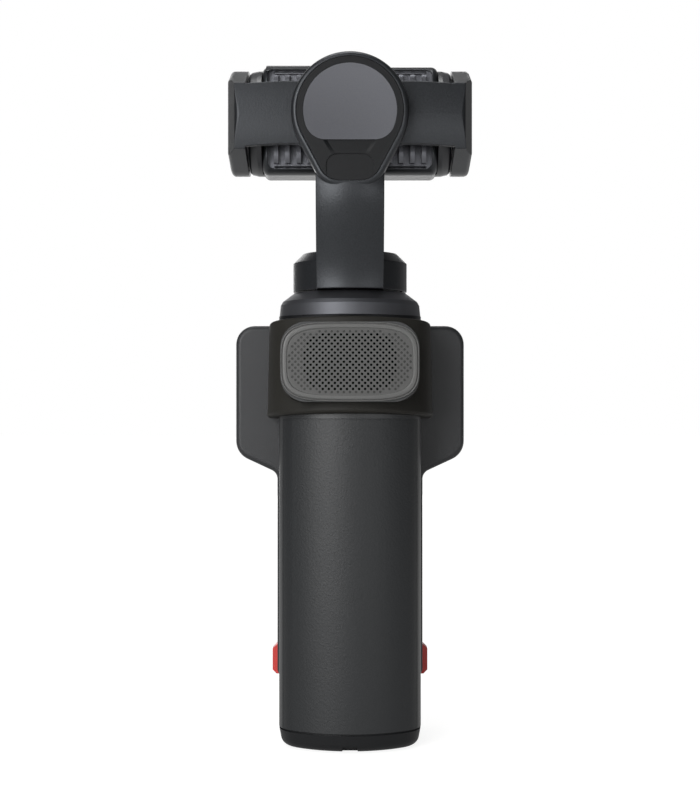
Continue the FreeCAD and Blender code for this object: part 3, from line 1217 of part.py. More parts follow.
def make_release_spring(left):
    """The coil between a squeeze button and the rib behind it."""
    middle = RELEASE_LOW + RELEASE_HEIGHT / 2.0
    high = HOOK_X - SEAT_GAP
    spring = tube("yz", RELEASE_LOW_Y + 1.0, middle, SPRING_RADIUS, SPRING_BORE, RIB_X, high)
    return mirrored(spring) if left else spring


def tilted_slab():
    """The space between the band's lower and upper edges, which dip from the back round to the sides."""
    rise = math.tan(BAND_TILT)
    back = -GRIP_BACK - BAND_THICK
    far = GRIP_FRONT + 2.0
    dip = (SIDE_CENTRE_Y - back) * rise
    corners = [
        (back - 1.0, BAND_LOW + rise, 0.0),
        (SIDE_CENTRE_Y, BAND_LOW - dip, BAND_BEND),
        (far, BAND_LOW - dip, 0.0),
        (far, BAND_TOP - dip, 0.0),
        (SIDE_CENTRE_Y, BAND_TOP - dip, BAND_BEND),
        (back - 1.0, BAND_TOP + rise, 0.0),
    ]
    return prism(corners, "yz", -GRIP_HALF_WIDTH - 5.0, GRIP_HALF_WIDTH + 5.0)


def mic_pad(grow, low, high):
    """The raised pad on the band's back that the microphone sits in."""
    half_x = PAD_HALF_WIDTH + grow
    half_z = PAD_HALF_HEIGHT + grow
    return prism(rectangle(-half_x, half_x, MIC_Z - half_z, MIC_Z + half_z, MIC_CORNER - 0.8), "xz", low, high)


def make_clip_band():
    slab = tilted_slab()
    band = grip_block(-BAND_THICK - TOUCH_GAP, GRIP_FRONT - 0.2, BAND_LOW - 5.0, BAND_TOP + 5.0)
    band = band.fuse(mic_pad(0.0, -MIC_SEAT, -SIDE_CENTRE_X)).removeSplitter()
    band = band.cut(grip_block(-TOUCH_GAP, GRIP_FRONT + 1.0, BAND_LOW - 9.0, BAND_TOP + 9.0)).common(slab)
    return band.cut(mic_pad(-MIC_WALL, -MIC_SEAT - 1.0, -MIC_DEEP))


def mic_outline(inset, low, high):
    """The microphone's rounded outline between two depths."""
    half_x = MIC_HALF_WIDTH - inset
    half_z = MIC_HALF_HEIGHT - inset
    return prism(rectangle(-half_x, half_x, MIC_Z - half_z, MIC_Z + half_z, MIC_CORNER - inset), "xz", low, high)


def make_mic_case():
    step = RIM_TALL - MIC_FACE
    case = mic_outline(0.0, step, -MIC_SEAT).fuse(mic_pad(-MIC_WALL - SEAT_GAP, -MIC_SEAT, -MIC_DEEP))
    return case.cut(mic_outline(RIM_INSET + RIM_WIDTH + 0.6, step - 1.0, -MIC_SEAT))


def make_mic_bezel():
    bezel = mic_outline(RIM_INSET, -MIC_FACE, RIM_TALL - MIC_FACE)
    inner = mic_outline(RIM_INSET + RIM_WIDTH, -MIC_FACE - 1.0, RIM_TALL - MIC_FACE + 1.0)
    return bezel.cut(inner)


def make_mic_grille():
    low = GRILLE_SINK - MIC_FACE
    high = RIM_TALL - MIC_FACE
    plate = mic_outline(RIM_INSET + RIM_WIDTH + SEAT_GAP, low, low + GRILLE_THICK)
    ledge = mic_outline(RIM_INSET + RIM_WIDTH + 0.6 + SEAT_GAP, low + GRILLE_THICK, high)
    inner = mic_outline(RIM_INSET + RIM_WIDTH + 1.4, low + GRILLE_THICK, high)
    plate = plate.fuse(ledge.cut(inner))
    holes = []
    half = HOLE_SIZE / math.sqrt(2.0)
    for row in range(HOLE_ROWS):
        z = MIC_Z + (row - (HOLE_ROWS - 1) / 2.0) * HOLE_PITCH / 2.0
        shift = 0.5 * (row % 2)
        for column in range(HOLE_COLUMNS - row % 2):
            x = (column + shift - (HOLE_COLUMNS - 1) / 2.0) * HOLE_PITCH
            corners = [(x - half, z, 0.0), (x, z - half, 0.0), (x + half, z, 0.0), (x, z + half, 0.0)]
            holes.append(prism(corners, "xz", low - 0.5, low + GRILLE_THICK + 0.5))
    return plate.cut(Part.makeCompound(holes))


def all_nodes():
    """Every node's name with its solid."""
    nodes = {
        "grip_shell": make_grip_shell(),
        "grip_skin": make_grip_skin(),
        "bottom_cap": make_bottom_cap(),
        "tripod_insert": make_tripod_insert(),
        "usb_socket": make_usb_socket(),
        "cap_screws": make_cap_screws(),
        "dock_plate": make_dock_plate(),
        "dock_contacts": make_dock_contacts(),
        "main_board": make_main_board(),
        "battery_cell": make_battery_cell(),
        "top_deck": make_top_deck(),
        "pan_ring": make_pan_ring(),
        "pan_bearing": make_pan_bearing(),
        "pan_stator": make_pan_stator(),
        "pan_rotor": make_pan_rotor(),
        "pan_shaft": make_pan_shaft(),
        "arm_frame": make_arm_frame(),
        "roll_cover": make_roll_cover(),
        "roll_dial": make_roll_dial(),
        "roll_bearing": make_roll_bearing(),
        "roll_stator": make_roll_stator(),
        "roll_rotor": make_roll_rotor(),
        "roll_shaft": make_roll_shaft(),
        "yoke_frame": make_yoke_frame(),
        "tilt_motor_lid": make_lid(True),
        "tilt_bearing_lid": make_lid(False),
        "tilt_stator": make_tilt_stator(),
        "tilt_bearings": make_tilt_bearings(),
        "tilt_rotor": make_tilt_rotor(),
        "tilt_shafts": make_tilt_shafts(),
        "head_rear_shell": make_head_rear_shell(),
        "heat_sink": make_heat_sink(),
        "head_front_shell": make_head_front_shell(),
        "main_lens_ring": make_lens_ring(MAIN_X, MAIN_RADIUS, MAIN_TALL),
        "main_lens_glass": make_lens_glass(MAIN_X, MAIN_RADIUS, MAIN_TALL),
        "main_lens_barrel": make_lens_barrel(MAIN_X, MAIN_RADIUS, MAIN_TALL),
        "tele_lens_ring": make_lens_ring(TELE_X, TELE_RADIUS, TELE_TALL),
        "tele_lens_glass": make_lens_glass(TELE_X, TELE_RADIUS, TELE_TALL),
        "tele_lens_barrel": make_lens_barrel(TELE_X, TELE_RADIUS, TELE_TALL),
        "image_sensors": make_image_sensors(),
        "remote_back_shell": make_remote_back_shell(),
        "remote_front_shell": make_remote_front_shell(),
        "screen_glass": make_screen_glass(),
        "screen_panel": make_screen_panel(),
        "remote_cell": make_remote_cell(),
        "remote_board": make_remote_board(),
        "stick_cradle": make_stick_cradle(),
        "stick_cap": make_stick_cap(),
        "record_button": make_record_button(),
        "mode_button": make_pill_button(-PILL_X, PILL_Z),
        "power_button": make_pill_button(PILL_X, PILL_Z),
        "release_button_left": make_release_button(True),
        "release_button_right": make_release_button(False),
        "release_spring_left": make_release_spring(True),
        "release_spring_right": make_release_spring(False),
        "clip_band": make_clip_band(),
        "mic_case": make_mic_case(),
        "mic_bezel": make_mic_bezel(),
        "mic_grille": make_mic_grille(),
    }
    return nodes


os.makedirs("parts", exist_ok=True)
for name, shape in all_nodes().items():
    shape.exportStep("parts/" + name + ".step")
    print(name, len(shape.Solids), "solids", round(shape.Volume, 2), "mm3", "valid" if shape.isValid() else "INVALID")
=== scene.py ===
import math

import bmesh
import bpy
from mathutils import Matrix, Vector


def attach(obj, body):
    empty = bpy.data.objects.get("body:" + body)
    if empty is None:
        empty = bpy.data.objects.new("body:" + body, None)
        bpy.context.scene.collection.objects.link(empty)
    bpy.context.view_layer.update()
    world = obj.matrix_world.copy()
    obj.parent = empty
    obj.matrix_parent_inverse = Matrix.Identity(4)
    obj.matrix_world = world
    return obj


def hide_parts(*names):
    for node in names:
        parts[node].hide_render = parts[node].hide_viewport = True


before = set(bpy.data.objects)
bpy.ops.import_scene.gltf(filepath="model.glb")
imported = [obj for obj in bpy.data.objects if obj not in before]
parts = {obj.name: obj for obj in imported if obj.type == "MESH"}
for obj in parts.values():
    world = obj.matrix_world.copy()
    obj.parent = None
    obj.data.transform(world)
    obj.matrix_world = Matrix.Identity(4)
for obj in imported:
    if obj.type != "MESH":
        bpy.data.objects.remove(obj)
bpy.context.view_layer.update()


# Grip shell. One hollow moulding in glass-filled nylon, satin from a fine spark-eroded mould.
# It runs from the end cap to the deck under the gimbal, and carries the skin on its back.

# Sizes in this file are in millimetres, and Blender's unit is the metre.
per_metre = 1000.0


def linear(code):
    """An sRGB hex colour as linear RGBA."""
    values = [int(code[i:i + 2], 16) / 255.0 for i in (1, 3, 5)]
    return [v / 12.92 if v <= 0.04045 else ((v + 0.055) / 1.055) ** 2.4 for v in values] + [1.0]


def node(tree, kind, links=None, **settings):
    """Adds a node. A link is a socket or a plain value for the named or numbered input."""
    made = tree.nodes.new("ShaderNode" + kind)
    for name, value in settings.items():
        setattr(made, name, value)
    for key, value in (links or {}).items():
        if isinstance(value, bpy.types.NodeSocket):
            tree.links.new(value, made.inputs[key])
        else:
            made.inputs[key].default_value = value
    return made


def finish(name, colour, roughness, metallic=0.0, ior=1.5, specular=0.5):
    """A new material with its constants on the surface shader, and its coordinates in millimetres."""
    material = bpy.data.materials.new(name)
    material.use_nodes = True
    tree = material.node_tree
    shader = tree.nodes["Principled BSDF"]
    shader.inputs["Base Color"].default_value = linear(colour)
    shader.inputs["Roughness"].default_value = roughness
    shader.inputs["Metallic"].default_value = metallic
    shader.inputs["IOR"].default_value = ior
    shader.inputs["Specular IOR Level"].default_value = specular
    place = node(tree, "TexCoord")
    millimetres = node(tree, "Mapping", {"Vector": place.outputs["Object"], "Scale": (per_metre,) * 3})
    return material, tree, shader, millimetres.outputs["Vector"]


def feed(shader, sources):
    """Links each output to the surface shader's input of that name."""
    for name, source in sources.items():
        shader.id_data.links.new(source, shader.inputs[name])


def dress(material, *names):
    """Gives CAD nodes a finish."""
    for name in names:
        for slot in parts[name].material_slots:
            slot.material = material


# Spark grain is 0.3 mm across; the flow patches in the moulding are about 9 mm.
satin_nylon, tree, shader, mm = finish("satin_moulded_nylon", "#1f2123", 0.4)
spark = node(tree, "TexNoise", {"Vector": mm, "Scale": 3.3, "Detail": 3.0})
flow = node(tree, "TexNoise", {"Vector": mm, "Scale": 0.11})
shade = node(tree, "Mix", {0: flow.outputs["Fac"], 6: linear("#1c1e20"), 7: linear("#222426")},
             data_type="RGBA")
soft_edge = node(tree, "Bevel", {"Radius": 0.0002}, samples=4)
bump = node(tree, "Bump", {"Height": spark.outputs["Fac"], "Distance": 0.00002,
                           "Normal": soft_edge.outputs["Normal"]})
feed(shader, {"Base Color": shade.outputs[2], "Normal": bump.outputs["Normal"]})
dress(satin_nylon, "grip_shell", "dock_plate")


# End cap. A separate moulding in the same nylon, matt and darker, held by two screws.
# The charging inlet, the brass tripod insert and the strap notch are in it.
matt_nylon, tree, shader, mm = finish("matt_end_cap_nylon", "#111214", 0.5, specular=0.25)
spark = node(tree, "TexNoise", {"Vector": mm, "Scale": 3.3, "Detail": 3.0})
flow = node(tree, "TexNoise", {"Vector": mm, "Scale": 0.15})
shade = node(tree, "Mix", {0: flow.outputs["Fac"], 6: linear("#0f1012"), 7: linear("#151618")},
             data_type="RGBA")
soft_edge = node(tree, "Bevel", {"Radius": 0.00012}, samples=4)
bump = node(tree, "Bump", {"Height": spark.outputs["Fac"], "Distance": 0.00002,
                           "Normal": soft_edge.outputs["Normal"]})
feed(shader, {"Base Color": shade.outputs[2], "Normal": bump.outputs["Normal"]})
dress(matt_nylon, "bottom_cap")


# Tripod insert. A threaded brass bush, pressed into the end cap's base.
# It is bright from the lathe, which leaves fine rings round its axis, drawn 0.45 mm apart.
turned_brass, tree, shader, mm = finish("turned_brass", "#b08d4a", 0.28, metallic=1.0)
rings = node(tree, "TexWave", {"Vector": mm, "Scale": 0.7, "Distortion": 0.3}, wave_type="RINGS",
             rings_direction="Z")
tarnish = node(tree, "TexNoise", {"Vector": mm, "Scale": 0.8, "Detail": 3.0})
shade = node(tree, "Mix", {0: tarnish.outputs["Fac"], 6: linear("#a07f40"), 7: linear("#bd9a54")},
             data_type="RGBA")
bump = node(tree, "Bump", {"Height": rings.outputs["Fac"], "Distance": 0.000006})
feed(shader, {"Base Color": shade.outputs[2], "Normal": bump.outputs["Normal"]})
dress(turned_brass, "tripod_insert")


# Charging inlet. A drawn and nickelled steel shell in the cap, with gold-flashed contacts on a dark tongue.
# Use leaves scuffs about half a millimetre long on the shell.
drawn_steel, tree, shader, mm = finish("drawn_nickelled_steel", "#8d9094", 0.3, metallic=1.0)
scuffs = node(tree, "TexNoise", {"Vector": mm, "Scale": 2.0, "Detail": 4.0})
wear = node(tree, "MapRange", {"Value": scuffs.outputs["Fac"], "To Min": 0.22, "To Max": 0.4})
bump = node(tree, "Bump", {"Height": scuffs.outputs["Fac"], "Distance": 0.000004})
feed(shader, {"Roughness": wear.outputs["Result"], "Normal": bump.outputs["Normal"]})
dress(drawn_steel, "usb_socket")
# Gold flash, wiped a little by the plug in spots 0.2 mm across.
gold, tree, shader, mm = finish("gold_flash_contact", "#c9a24e", 0.3, metallic=1.0)
wipes = node(tree, "TexNoise", {"Vector": mm, "Scale": 5.0})
shade = node(tree, "Mix", {0: wipes.outputs["Fac"], 6: linear("#b98f3c"), 7: linear("#d6b35f")},
             data_type="RGBA")
feed(shader, {"Base Color": shade.outputs[2]})


def piece_of(name, shape):
    """A new object in the scene from a bmesh, which is freed."""
    mesh = bpy.data.meshes.new(name)
    shape.to_mesh(mesh)
    shape.free()
    made = bpy.data.objects.new(name, mesh)
    bpy.context.scene.collection.objects.link(made)
    return made


def block_mesh(name, boxes):
    """One object of several blocks, each given by its low and high corners in mm."""
    shape = bmesh.new()
    for low, high in boxes:
        low = Vector(low) / per_metre
        high = Vector(high) / per_metre
        made = bmesh.ops.create_cube(shape, size=1.0)
        size = high - low
        place = Matrix.Translation((low + high) / 2.0) @ Matrix.Diagonal((size.x, size.y, size.z, 1.0))
        bmesh.ops.transform(shape, matrix=place, verts=made["verts"])
    return piece_of(name, shape)


inlet_y = 9.4
pin_count, pin_pitch, pin_row = 9, 0.62, 0.36
pin_half_wide, pin_half_deep = 0.16, 0.03
pin_low, pin_top = 1.8, 5.6
pins = []
for index in range(pin_count):
    x = (index - (pin_count - 1) / 2.0) * pin_pitch
    for side in (-1.0, 1.0):
        y = inlet_y + side * pin_row
        pins.append(((x - pin_half_wide, y - pin_half_deep, pin_low),
                     (x + pin_half_wide, y + pin_half_deep, pin_top)))
inlet_pins = block_mesh("inlet_pins", pins)
inlet_pins.data.materials.append(gold)
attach(inlet_pins, "handle")


# Cap screws. Small black zinc-plated machine screws with a six-lobe socket, sunk below the cap's face.
# The plating is faintly pitted, at about a quarter of a millimetre.
plated_screw, tree, shader, mm = finish("black_zinc_plated_steel", "#3a3a3c", 0.35, metallic=1.0)
pits = node(tree, "TexNoise", {"Vector": mm, "Scale": 4.0, "Detail": 2.0})
wear = node(tree, "MapRange", {"Value": pits.outputs["Fac"], "To Min": 0.28, "To Max": 0.44})
soft_edge = node(tree, "Bevel", {"Radius": 0.00012}, samples=4)
bump = node(tree, "Bump", {"Height": pits.outputs["Fac"], "Distance": 0.000006,
                           "Normal": soft_edge.outputs["Normal"]})
feed(shader, {"Roughness": wear.outputs["Result"], "Normal": bump.outputs["Normal"]})
dress(plated_screw, "cap_screws")
# The sockets and the well behind the microphone's sheet are painted near black as shade, with a trace of
# dust.
recess_shade_black, tree, shader, mm = finish("painted_recess_shade", "#050506", 0.8, specular=0.1)
dust = node(tree, "TexNoise", {"Vector": mm, "Scale": 2.5})
shade = node(tree, "Mix", {0: dust.outputs["Fac"], 6: linear("#030304"), 7: linear("#08080a")},
             data_type="RGBA")
feed(shader, {"Base Color": shade.outputs[2]})


def prism_mesh(name, outlines, axis, low, high):
    """Solid prisms from 2D outlines in mm. Axis y takes (x, z) points, and axis z takes (x, y)."""
    shape = bmesh.new()
    for outline in outlines:
        ends = []
        for level in (low, high):
            if axis == "y":
                spots = [Vector((u, level, v)) / per_metre for u, v in outline]
            else:
                spots = [Vector((u, v, level)) / per_metre for u, v in outline]
            ends.append([shape.verts.new(spot) for spot in spots])
        shape.faces.new(ends[0])
        shape.faces.new(ends[1][::-1])
        for index in range(len(outline)):
            after = (index + 1) % len(outline)
            shape.faces.new((ends[0][index], ends[1][index], ends[1][after], ends[0][after]))
    bmesh.ops.recalc_face_normals(shape, faces=shape.faces[:])
    return piece_of(name, shape)


screw_x = 10.0
lobe_count, lobe_radius, lobe_depth, lobe_points = 6, 0.72, 0.12, 48
socket_low, socket_top = 0.385, 0.5
lobes = []
for side in (-1.0, 1.0):
    star = []
    for step in range(lobe_points):
        turn = math.tau * step / lobe_points
        reach = lobe_radius + lobe_depth * math.cos(lobe_count * turn)
        star.append((side * screw_x + reach * math.cos(turn), reach * math.sin(turn)))
    lobes.append(star)
# Each socket is a flat star painted near black, as the shade in its hollow.
screw_sockets = prism_mesh("screw_sockets", lobes, "z", socket_low, socket_top)
screw_sockets.data.materials.append(recess_shade_black)
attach(screw_sockets, "handle")


# Grip skin. A soft polyurethane sheet let into the shell's back, embossed with a pebbled leather grain.
# The pebbles are half a millimetre across and low, and the dull and the rubbed patches are a finger's width.
pebbled_skin, tree, shader, mm = finish("pebbled_polyurethane_skin", "#0e1114", 0.48)
pebbles = node(tree, "TexVoronoi", {"Vector": mm, "Scale": 2.0}, feature="SMOOTH_F1")
wrinkle = node(tree, "TexNoise", {"Vector": mm, "Scale": 2.2, "Detail": 3.0})
height = node(tree, "Math", {0: pebbles.outputs["Distance"], 1: wrinkle.outputs["Fac"]}, operation="ADD")
rubbed = node(tree, "TexNoise", {"Vector": mm, "Scale": 0.07, "Detail": 2.0})
shade = node(tree, "Mix", {0: rubbed.outputs["Fac"], 6: linear("#0c0f12"), 7: linear("#111417")},
             data_type="RGBA")
wear = node(tree, "MapRange", {"Value": rubbed.outputs["Fac"], "To Min": 0.45, "To Max": 0.51})
bump = node(tree, "Bump", {"Height": height.outputs[0], "Distance": 0.000025})
feed(shader, {"Base Color": shade.outputs[2], "Roughness": wear.outputs["Result"],
              "Normal": bump.outputs["Normal"]})
dress(pebbled_skin, "grip_skin")


# Inside the grip. A foil pouch cell and a green board stand behind the dock plate.
# The contact block is a black moulding with four gold pads.
# The foil is bright and creased, with about 3 mm between folds.
foil, tree, shader, mm = finish("foil_pouch", "#9a9da1", 0.4, metallic=0.8)
crease = node(tree, "TexNoise", {"Vector": mm, "Scale": 0.33, "Detail": 3.0})
bump = node(tree, "Bump", {"Height": crease.outputs["Fac"], "Distance": 0.00008})
feed(shader, {"Normal": bump.outputs["Normal"]})
dress(foil, "battery_cell", "remote_cell")
# The boards are green solder mask over slightly lighter copper.
solder_mask, tree, shader, mm = finish("green_solder_mask", "#0f3d26", 0.4)
tracks = node(tree, "TexBrick", {"Vector": mm, "Scale": 0.6, "Mortar Size": 0.08, "Color1": linear("#0f3d26"),
                                 "Color2": linear("#12472c"), "Mortar": linear("#1c5a39")})
feed(shader, {"Base Color": tracks.outputs["Color"]})
dress(solder_mask, "main_board", "remote_board", "image_sensors")
# The block comes from a polished mould, with flow patches of 2 mm in its gloss.
gloss_block, tree, shader, mm = finish("gloss_contact_moulding", "#141416", 0.3)
flow = node(tree, "TexNoise", {"Vector": mm, "Scale": 0.5})
wear = node(tree, "MapRange", {"Value": flow.outputs["Fac"], "To Min": 0.24, "To Max": 0.38})
feed(shader, {"Roughness": wear.outputs["Result"]})
dress(gloss_block, "dock_contacts")


def round_outline(across, up, radius, steps):
    """Points round a circle, in mm."""
    return [(across + radius * math.cos(math.tau * step / steps),
             up + radius * math.sin(math.tau * step / steps))
            for step in range(steps)]


pad_count, pad_pitch, pad_z, pad_radius = 4, 2.2, 31.5, 0.62
pad_back, pad_face = 7.52, 7.66
pad_disks = [round_outline((index - (pad_count - 1) / 2.0) * pad_pitch, pad_z, pad_radius, 24)
             for index in range(pad_count)]
contact_pads = prism_mesh("contact_pads", pad_disks, "y", pad_back, pad_face)
contact_pads.data.materials.append(gold)
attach(contact_pads, "handle")


# Deck and pan ring. The deck is milled aluminium, black anodised. The ring is turned and anodised dark grey:
# its lathe lines are far finer than a pixel, so they are drawn 1 mm apart and very shallow.
# The mill leaves shallow marks 0.3 mm apart.
milled_black, tree, shader, mm = finish("milled_black_anodised_aluminium", "#1c1d1f", 0.42, metallic=0.75)
mill = node(tree, "TexNoise", {"Vector": mm, "Scale": 3.3, "Detail": 2.0})
bump = node(tree, "Bump", {"Height": mill.outputs["Fac"], "Distance": 0.000012})
feed(shader, {"Normal": bump.outputs["Normal"]})
dress(milled_black, "top_deck")
# The ring is dark metal with soft highlights along its turned edges.
turned_ring, tree, shader, mm = finish("turned_dark_anodised_aluminium", "#57585c", 0.52, metallic=0.9)
lines = node(tree, "TexWave", {"Vector": mm, "Scale": 0.32, "Distortion": 0.2, "Detail": 1.0},
             bands_direction="Z")
cloud = node(tree, "TexNoise", {"Vector": mm, "Scale": 0.3})
shade = node(tree, "Mix", {0: cloud.outputs["Fac"], 6: linear("#515256"), 7: linear("#595a5e")},
             data_type="RGBA")
soft_edge = node(tree, "Bevel", {"Radius": 0.00018}, samples=4)
bump = node(tree, "Bump", {"Height": lines.outputs["Fac"], "Distance": 0.000002,
                           "Normal": soft_edge.outputs["Normal"]})
feed(shader, {"Base Color": shade.outputs[2], "Normal": bump.outputs["Normal"]})
dress(turned_ring, "pan_ring")


# Motor pieces. Ground steel shafts and bearings, nickelled rotors, and lacquered cores wound with copper wire
# half a millimetre thick, seen only through the gaps of the joints. The springs of the squeeze buttons and
# the thumb stick's cradle are steel of the same finish.
ground_steel, tree, shader, mm = finish("ground_bearing_steel", "#b4b6b8", 0.22, metallic=1.0)
grind = node(tree, "TexNoise", {"Vector": mm, "Scale": 6.0})
wear = node(tree, "MapRange", {"Value": grind.outputs["Fac"], "To Min": 0.16, "To Max": 0.3})
feed(shader, {"Roughness": wear.outputs["Result"]})
dress(ground_steel, "pan_bearing", "pan_shaft", "roll_bearing", "roll_shaft", "tilt_bearings", "tilt_shafts",
      "release_spring_left", "release_spring_right", "stick_cradle")
# The lacquer makes the copper brown and glossy.
winding, tree, shader, mm = finish("lacquered_copper_winding", "#7a4524", 0.35, metallic=0.6)
wires = node(tree, "TexWave", {"Vector": mm, "Scale": 0.63, "Distortion": 0.5})
bump = node(tree, "Bump", {"Height": wires.outputs["Fac"], "Distance": 0.00005})
feed(shader, {"Normal": bump.outputs["Normal"]})
dress(winding, "pan_stator", "roll_stator", "tilt_stator")
# The nickel has dull blotches 1.4 mm across.
nickel, tree, shader, mm = finish("nickelled_rotor", "#77787a", 0.35, metallic=1.0)
blotch = node(tree, "TexNoise", {"Vector": mm, "Scale": 0.7, "Detail": 2.0})
wear = node(tree, "MapRange", {"Value": blotch.outputs["Fac"], "To Min": 0.28, "To Max": 0.42})
feed(shader, {"Roughness": wear.outputs["Result"]})
dress(nickel, "pan_rotor", "roll_rotor", "tilt_rotor")


# Pan arm and yoke. Two die castings, bead-blasted and black anodised. The blasting leaves an even dull
# sparkle of about 0.2 mm, drawn at 0.4 mm so that it shows. The head's rear frame has the same finish.
blasted_black, tree, shader, mm = finish("bead_blasted_black_anodised_aluminium", "#2d2f32", 0.34,
                                         metallic=0.6)
sand = node(tree, "TexNoise", {"Vector": mm, "Scale": 2.5, "Detail": 4.0})
shade = node(tree, "Mix", {0: sand.outputs["Fac"], 6: linear("#27292c"), 7: linear("#333538")},
             data_type="RGBA")
wear = node(tree, "MapRange", {"Value": sand.outputs["Fac"], "To Min": 0.3, "To Max": 0.38})
soft_edge = node(tree, "Bevel", {"Radius": 0.0004}, samples=6)
bump = node(tree, "Bump", {"Height": sand.outputs["Fac"], "Distance": 0.00003,
                           "Normal": soft_edge.outputs["Normal"]})
feed(shader, {"Base Color": shade.outputs[2], "Roughness": wear.outputs["Result"],
              "Normal": bump.outputs["Normal"]})
dress(blasted_black, "arm_frame", "yoke_frame", "head_rear_shell")


# Roll motor's cover and dial. The cover is let in with a hairline gap. It is blasted like the arm, and its
# thick dyed oxide is a duller black with none of the metal's gleam. The dial is a satin disc of spun grey
# aluminium, with rings drawn 0.6 mm apart and barely deep.
cover_metal, tree, shader, mm = finish("blasted_cover_aluminium", "#0f1012", 0.48, specular=0.2)
sand = node(tree, "TexNoise", {"Vector": mm, "Scale": 2.8, "Detail": 4.0})
shade = node(tree, "Mix", {0: sand.outputs["Fac"], 6: linear("#0c0d0f"), 7: linear("#131416")},
             data_type="RGBA")
soft_edge = node(tree, "Bevel", {"Radius": 0.00012}, samples=4)
bump = node(tree, "Bump", {"Height": sand.outputs["Fac"], "Distance": 0.00002,
                           "Normal": soft_edge.outputs["Normal"]})
feed(shader, {"Base Color": shade.outputs[2], "Normal": bump.outputs["Normal"]})
dress(cover_metal, "roll_cover")
roll_z = 146.9
# The dial's rings catch the light as one broad soft band.
spun_grey, tree, shader, mm = finish("spun_satin_grey_aluminium", "#606166", 0.24, metallic=0.5)
centred = node(tree, "Mapping", {"Vector": mm, "Location": (0.0, 0.0, -roll_z)})
rings = node(tree, "TexWave", {"Vector": centred.outputs["Vector"], "Scale": 0.52, "Distortion": 0.1},
             wave_type="RINGS", rings_direction="Y")
sand = node(tree, "TexNoise", {"Vector": mm, "Scale": 3.0, "Detail": 3.0})
shade = node(tree, "Mix", {0: sand.outputs["Fac"], 6: linear("#5b5c61"), 7: linear("#65666b")},
             data_type="RGBA")
bump = node(tree, "Bump", {"Height": rings.outputs["Fac"], "Distance": 0.000001})
feed(shader, {"Base Color": shade.outputs[2], "Normal": bump.outputs["Normal"]})
dress(spun_grey, "roll_dial")


# Tilt lids. Caps pressed into the ends of the yoke's side arms, spun from aluminium and anodised dark.
# Their rings are drawn 0.6 mm apart as on the dial, and the anodising leaves them duller.
tilt_z = 147.5
spun_dark, tree, shader, mm = finish("spun_dark_aluminium", "#2d2e31", 0.5, metallic=0.4)
centred = node(tree, "Mapping", {"Vector": mm, "Location": (0.0, 0.0, -tilt_z)})
rings = node(tree, "TexWave", {"Vector": centred.outputs["Vector"], "Scale": 0.52, "Distortion": 0.1},
             wave_type="RINGS", rings_direction="X")
sand = node(tree, "TexNoise", {"Vector": mm, "Scale": 3.0, "Detail": 3.0})
wear = node(tree, "MapRange", {"Value": sand.outputs["Fac"], "To Min": 0.46, "To Max": 0.54})
bump = node(tree, "Bump", {"Height": rings.outputs["Fac"], "Distance": 0.000003})
feed(shader, {"Roughness": wear.outputs["Result"], "Normal": bump.outputs["Normal"]})
dress(spun_dark, "tilt_motor_lid", "tilt_bearing_lid")


# Camera head. The rear frame is blasted metal round the vent window; the front is a satin nylon moulding.
# The sink behind the window is a dark anodised casting, with a rough skin drawn at half a millimetre.
# The front moulding has the same spark grain as the grip, a little glossier.
head_nylon, tree, shader, mm = finish("satin_head_nylon", "#292a2d", 0.34)
spark = node(tree, "TexNoise", {"Vector": mm, "Scale": 3.3, "Detail": 3.0})
wear = node(tree, "MapRange", {"Value": spark.outputs["Fac"], "To Min": 0.3, "To Max": 0.4})
soft_edge = node(tree, "Bevel", {"Radius": 0.0003}, samples=4)
bump = node(tree, "Bump", {"Height": spark.outputs["Fac"], "Distance": 0.00002,
                           "Normal": soft_edge.outputs["Normal"]})
feed(shader, {"Roughness": wear.outputs["Result"], "Normal": bump.outputs["Normal"]})
dress(head_nylon, "head_front_shell")
# The sink's skin is mottled in two greys, and its fins have soft edges.
sink_metal, tree, shader, mm = finish("dark_anodised_casting", "#606166", 0.36, metallic=0.8)
cast = node(tree, "TexNoise", {"Vector": mm, "Scale": 2.0, "Detail": 3.0})
shade = node(tree, "Mix", {0: cast.outputs["Fac"], 6: linear("#56575c"), 7: linear("#6a6b70")},
             data_type="RGBA")
soft_edge = node(tree, "Bevel", {"Radius": 0.00015}, samples=4)
bump = node(tree, "Bump", {"Height": cast.outputs["Fac"], "Distance": 0.00003,
                           "Normal": soft_edge.outputs["Normal"]})
feed(shader, {"Base Color": shade.outputs[2], "Normal": bump.outputs["Normal"]})
dress(sink_metal, "heat_sink")


# Lenses. Turned dark rings hold coated cover glasses over stepped black barrels.
# The coating shows as a faint violet and green sheen, and inside each barrel a domed element.
# The rings are fine turned metal, anodised dark, with a low gloss.
lens_metal, tree, shader, mm = finish("turned_lens_ring", "#3a3b3e", 0.3, metallic=0.8)
lathe = node(tree, "TexNoise", {"Vector": mm, "Scale": 5.0})
wear = node(tree, "MapRange", {"Value": lathe.outputs["Fac"], "To Min": 0.24, "To Max": 0.36})
soft_edge = node(tree, "Bevel", {"Radius": 0.00012}, samples=4)
feed(shader, {"Roughness": wear.outputs["Result"], "Normal": soft_edge.outputs["Normal"]})
dress(lens_metal, "main_lens_ring", "tele_lens_ring")
# The glasses are clear, with a bluish coating that turns violet at a glance.
coated_glass, tree, shader, mm = finish("coated_optical_glass", "#9fb0c8", 0.02, ior=1.52)
shader.inputs["Transmission Weight"].default_value = 1.0
shader.inputs["Coat Weight"].default_value = 1.0
shader.inputs["Coat Roughness"].default_value = 0.02
facing = node(tree, "LayerWeight", {"Blend": 0.35})
shade = node(tree, "Mix", {0: facing.outputs["Facing"], 6: linear("#8fa6d0"), 7: linear("#b59ad0")},
             data_type="RGBA")
feed(shader, {"Base Color": shade.outputs[2]})
dress(coated_glass, "main_lens_glass", "tele_lens_glass")
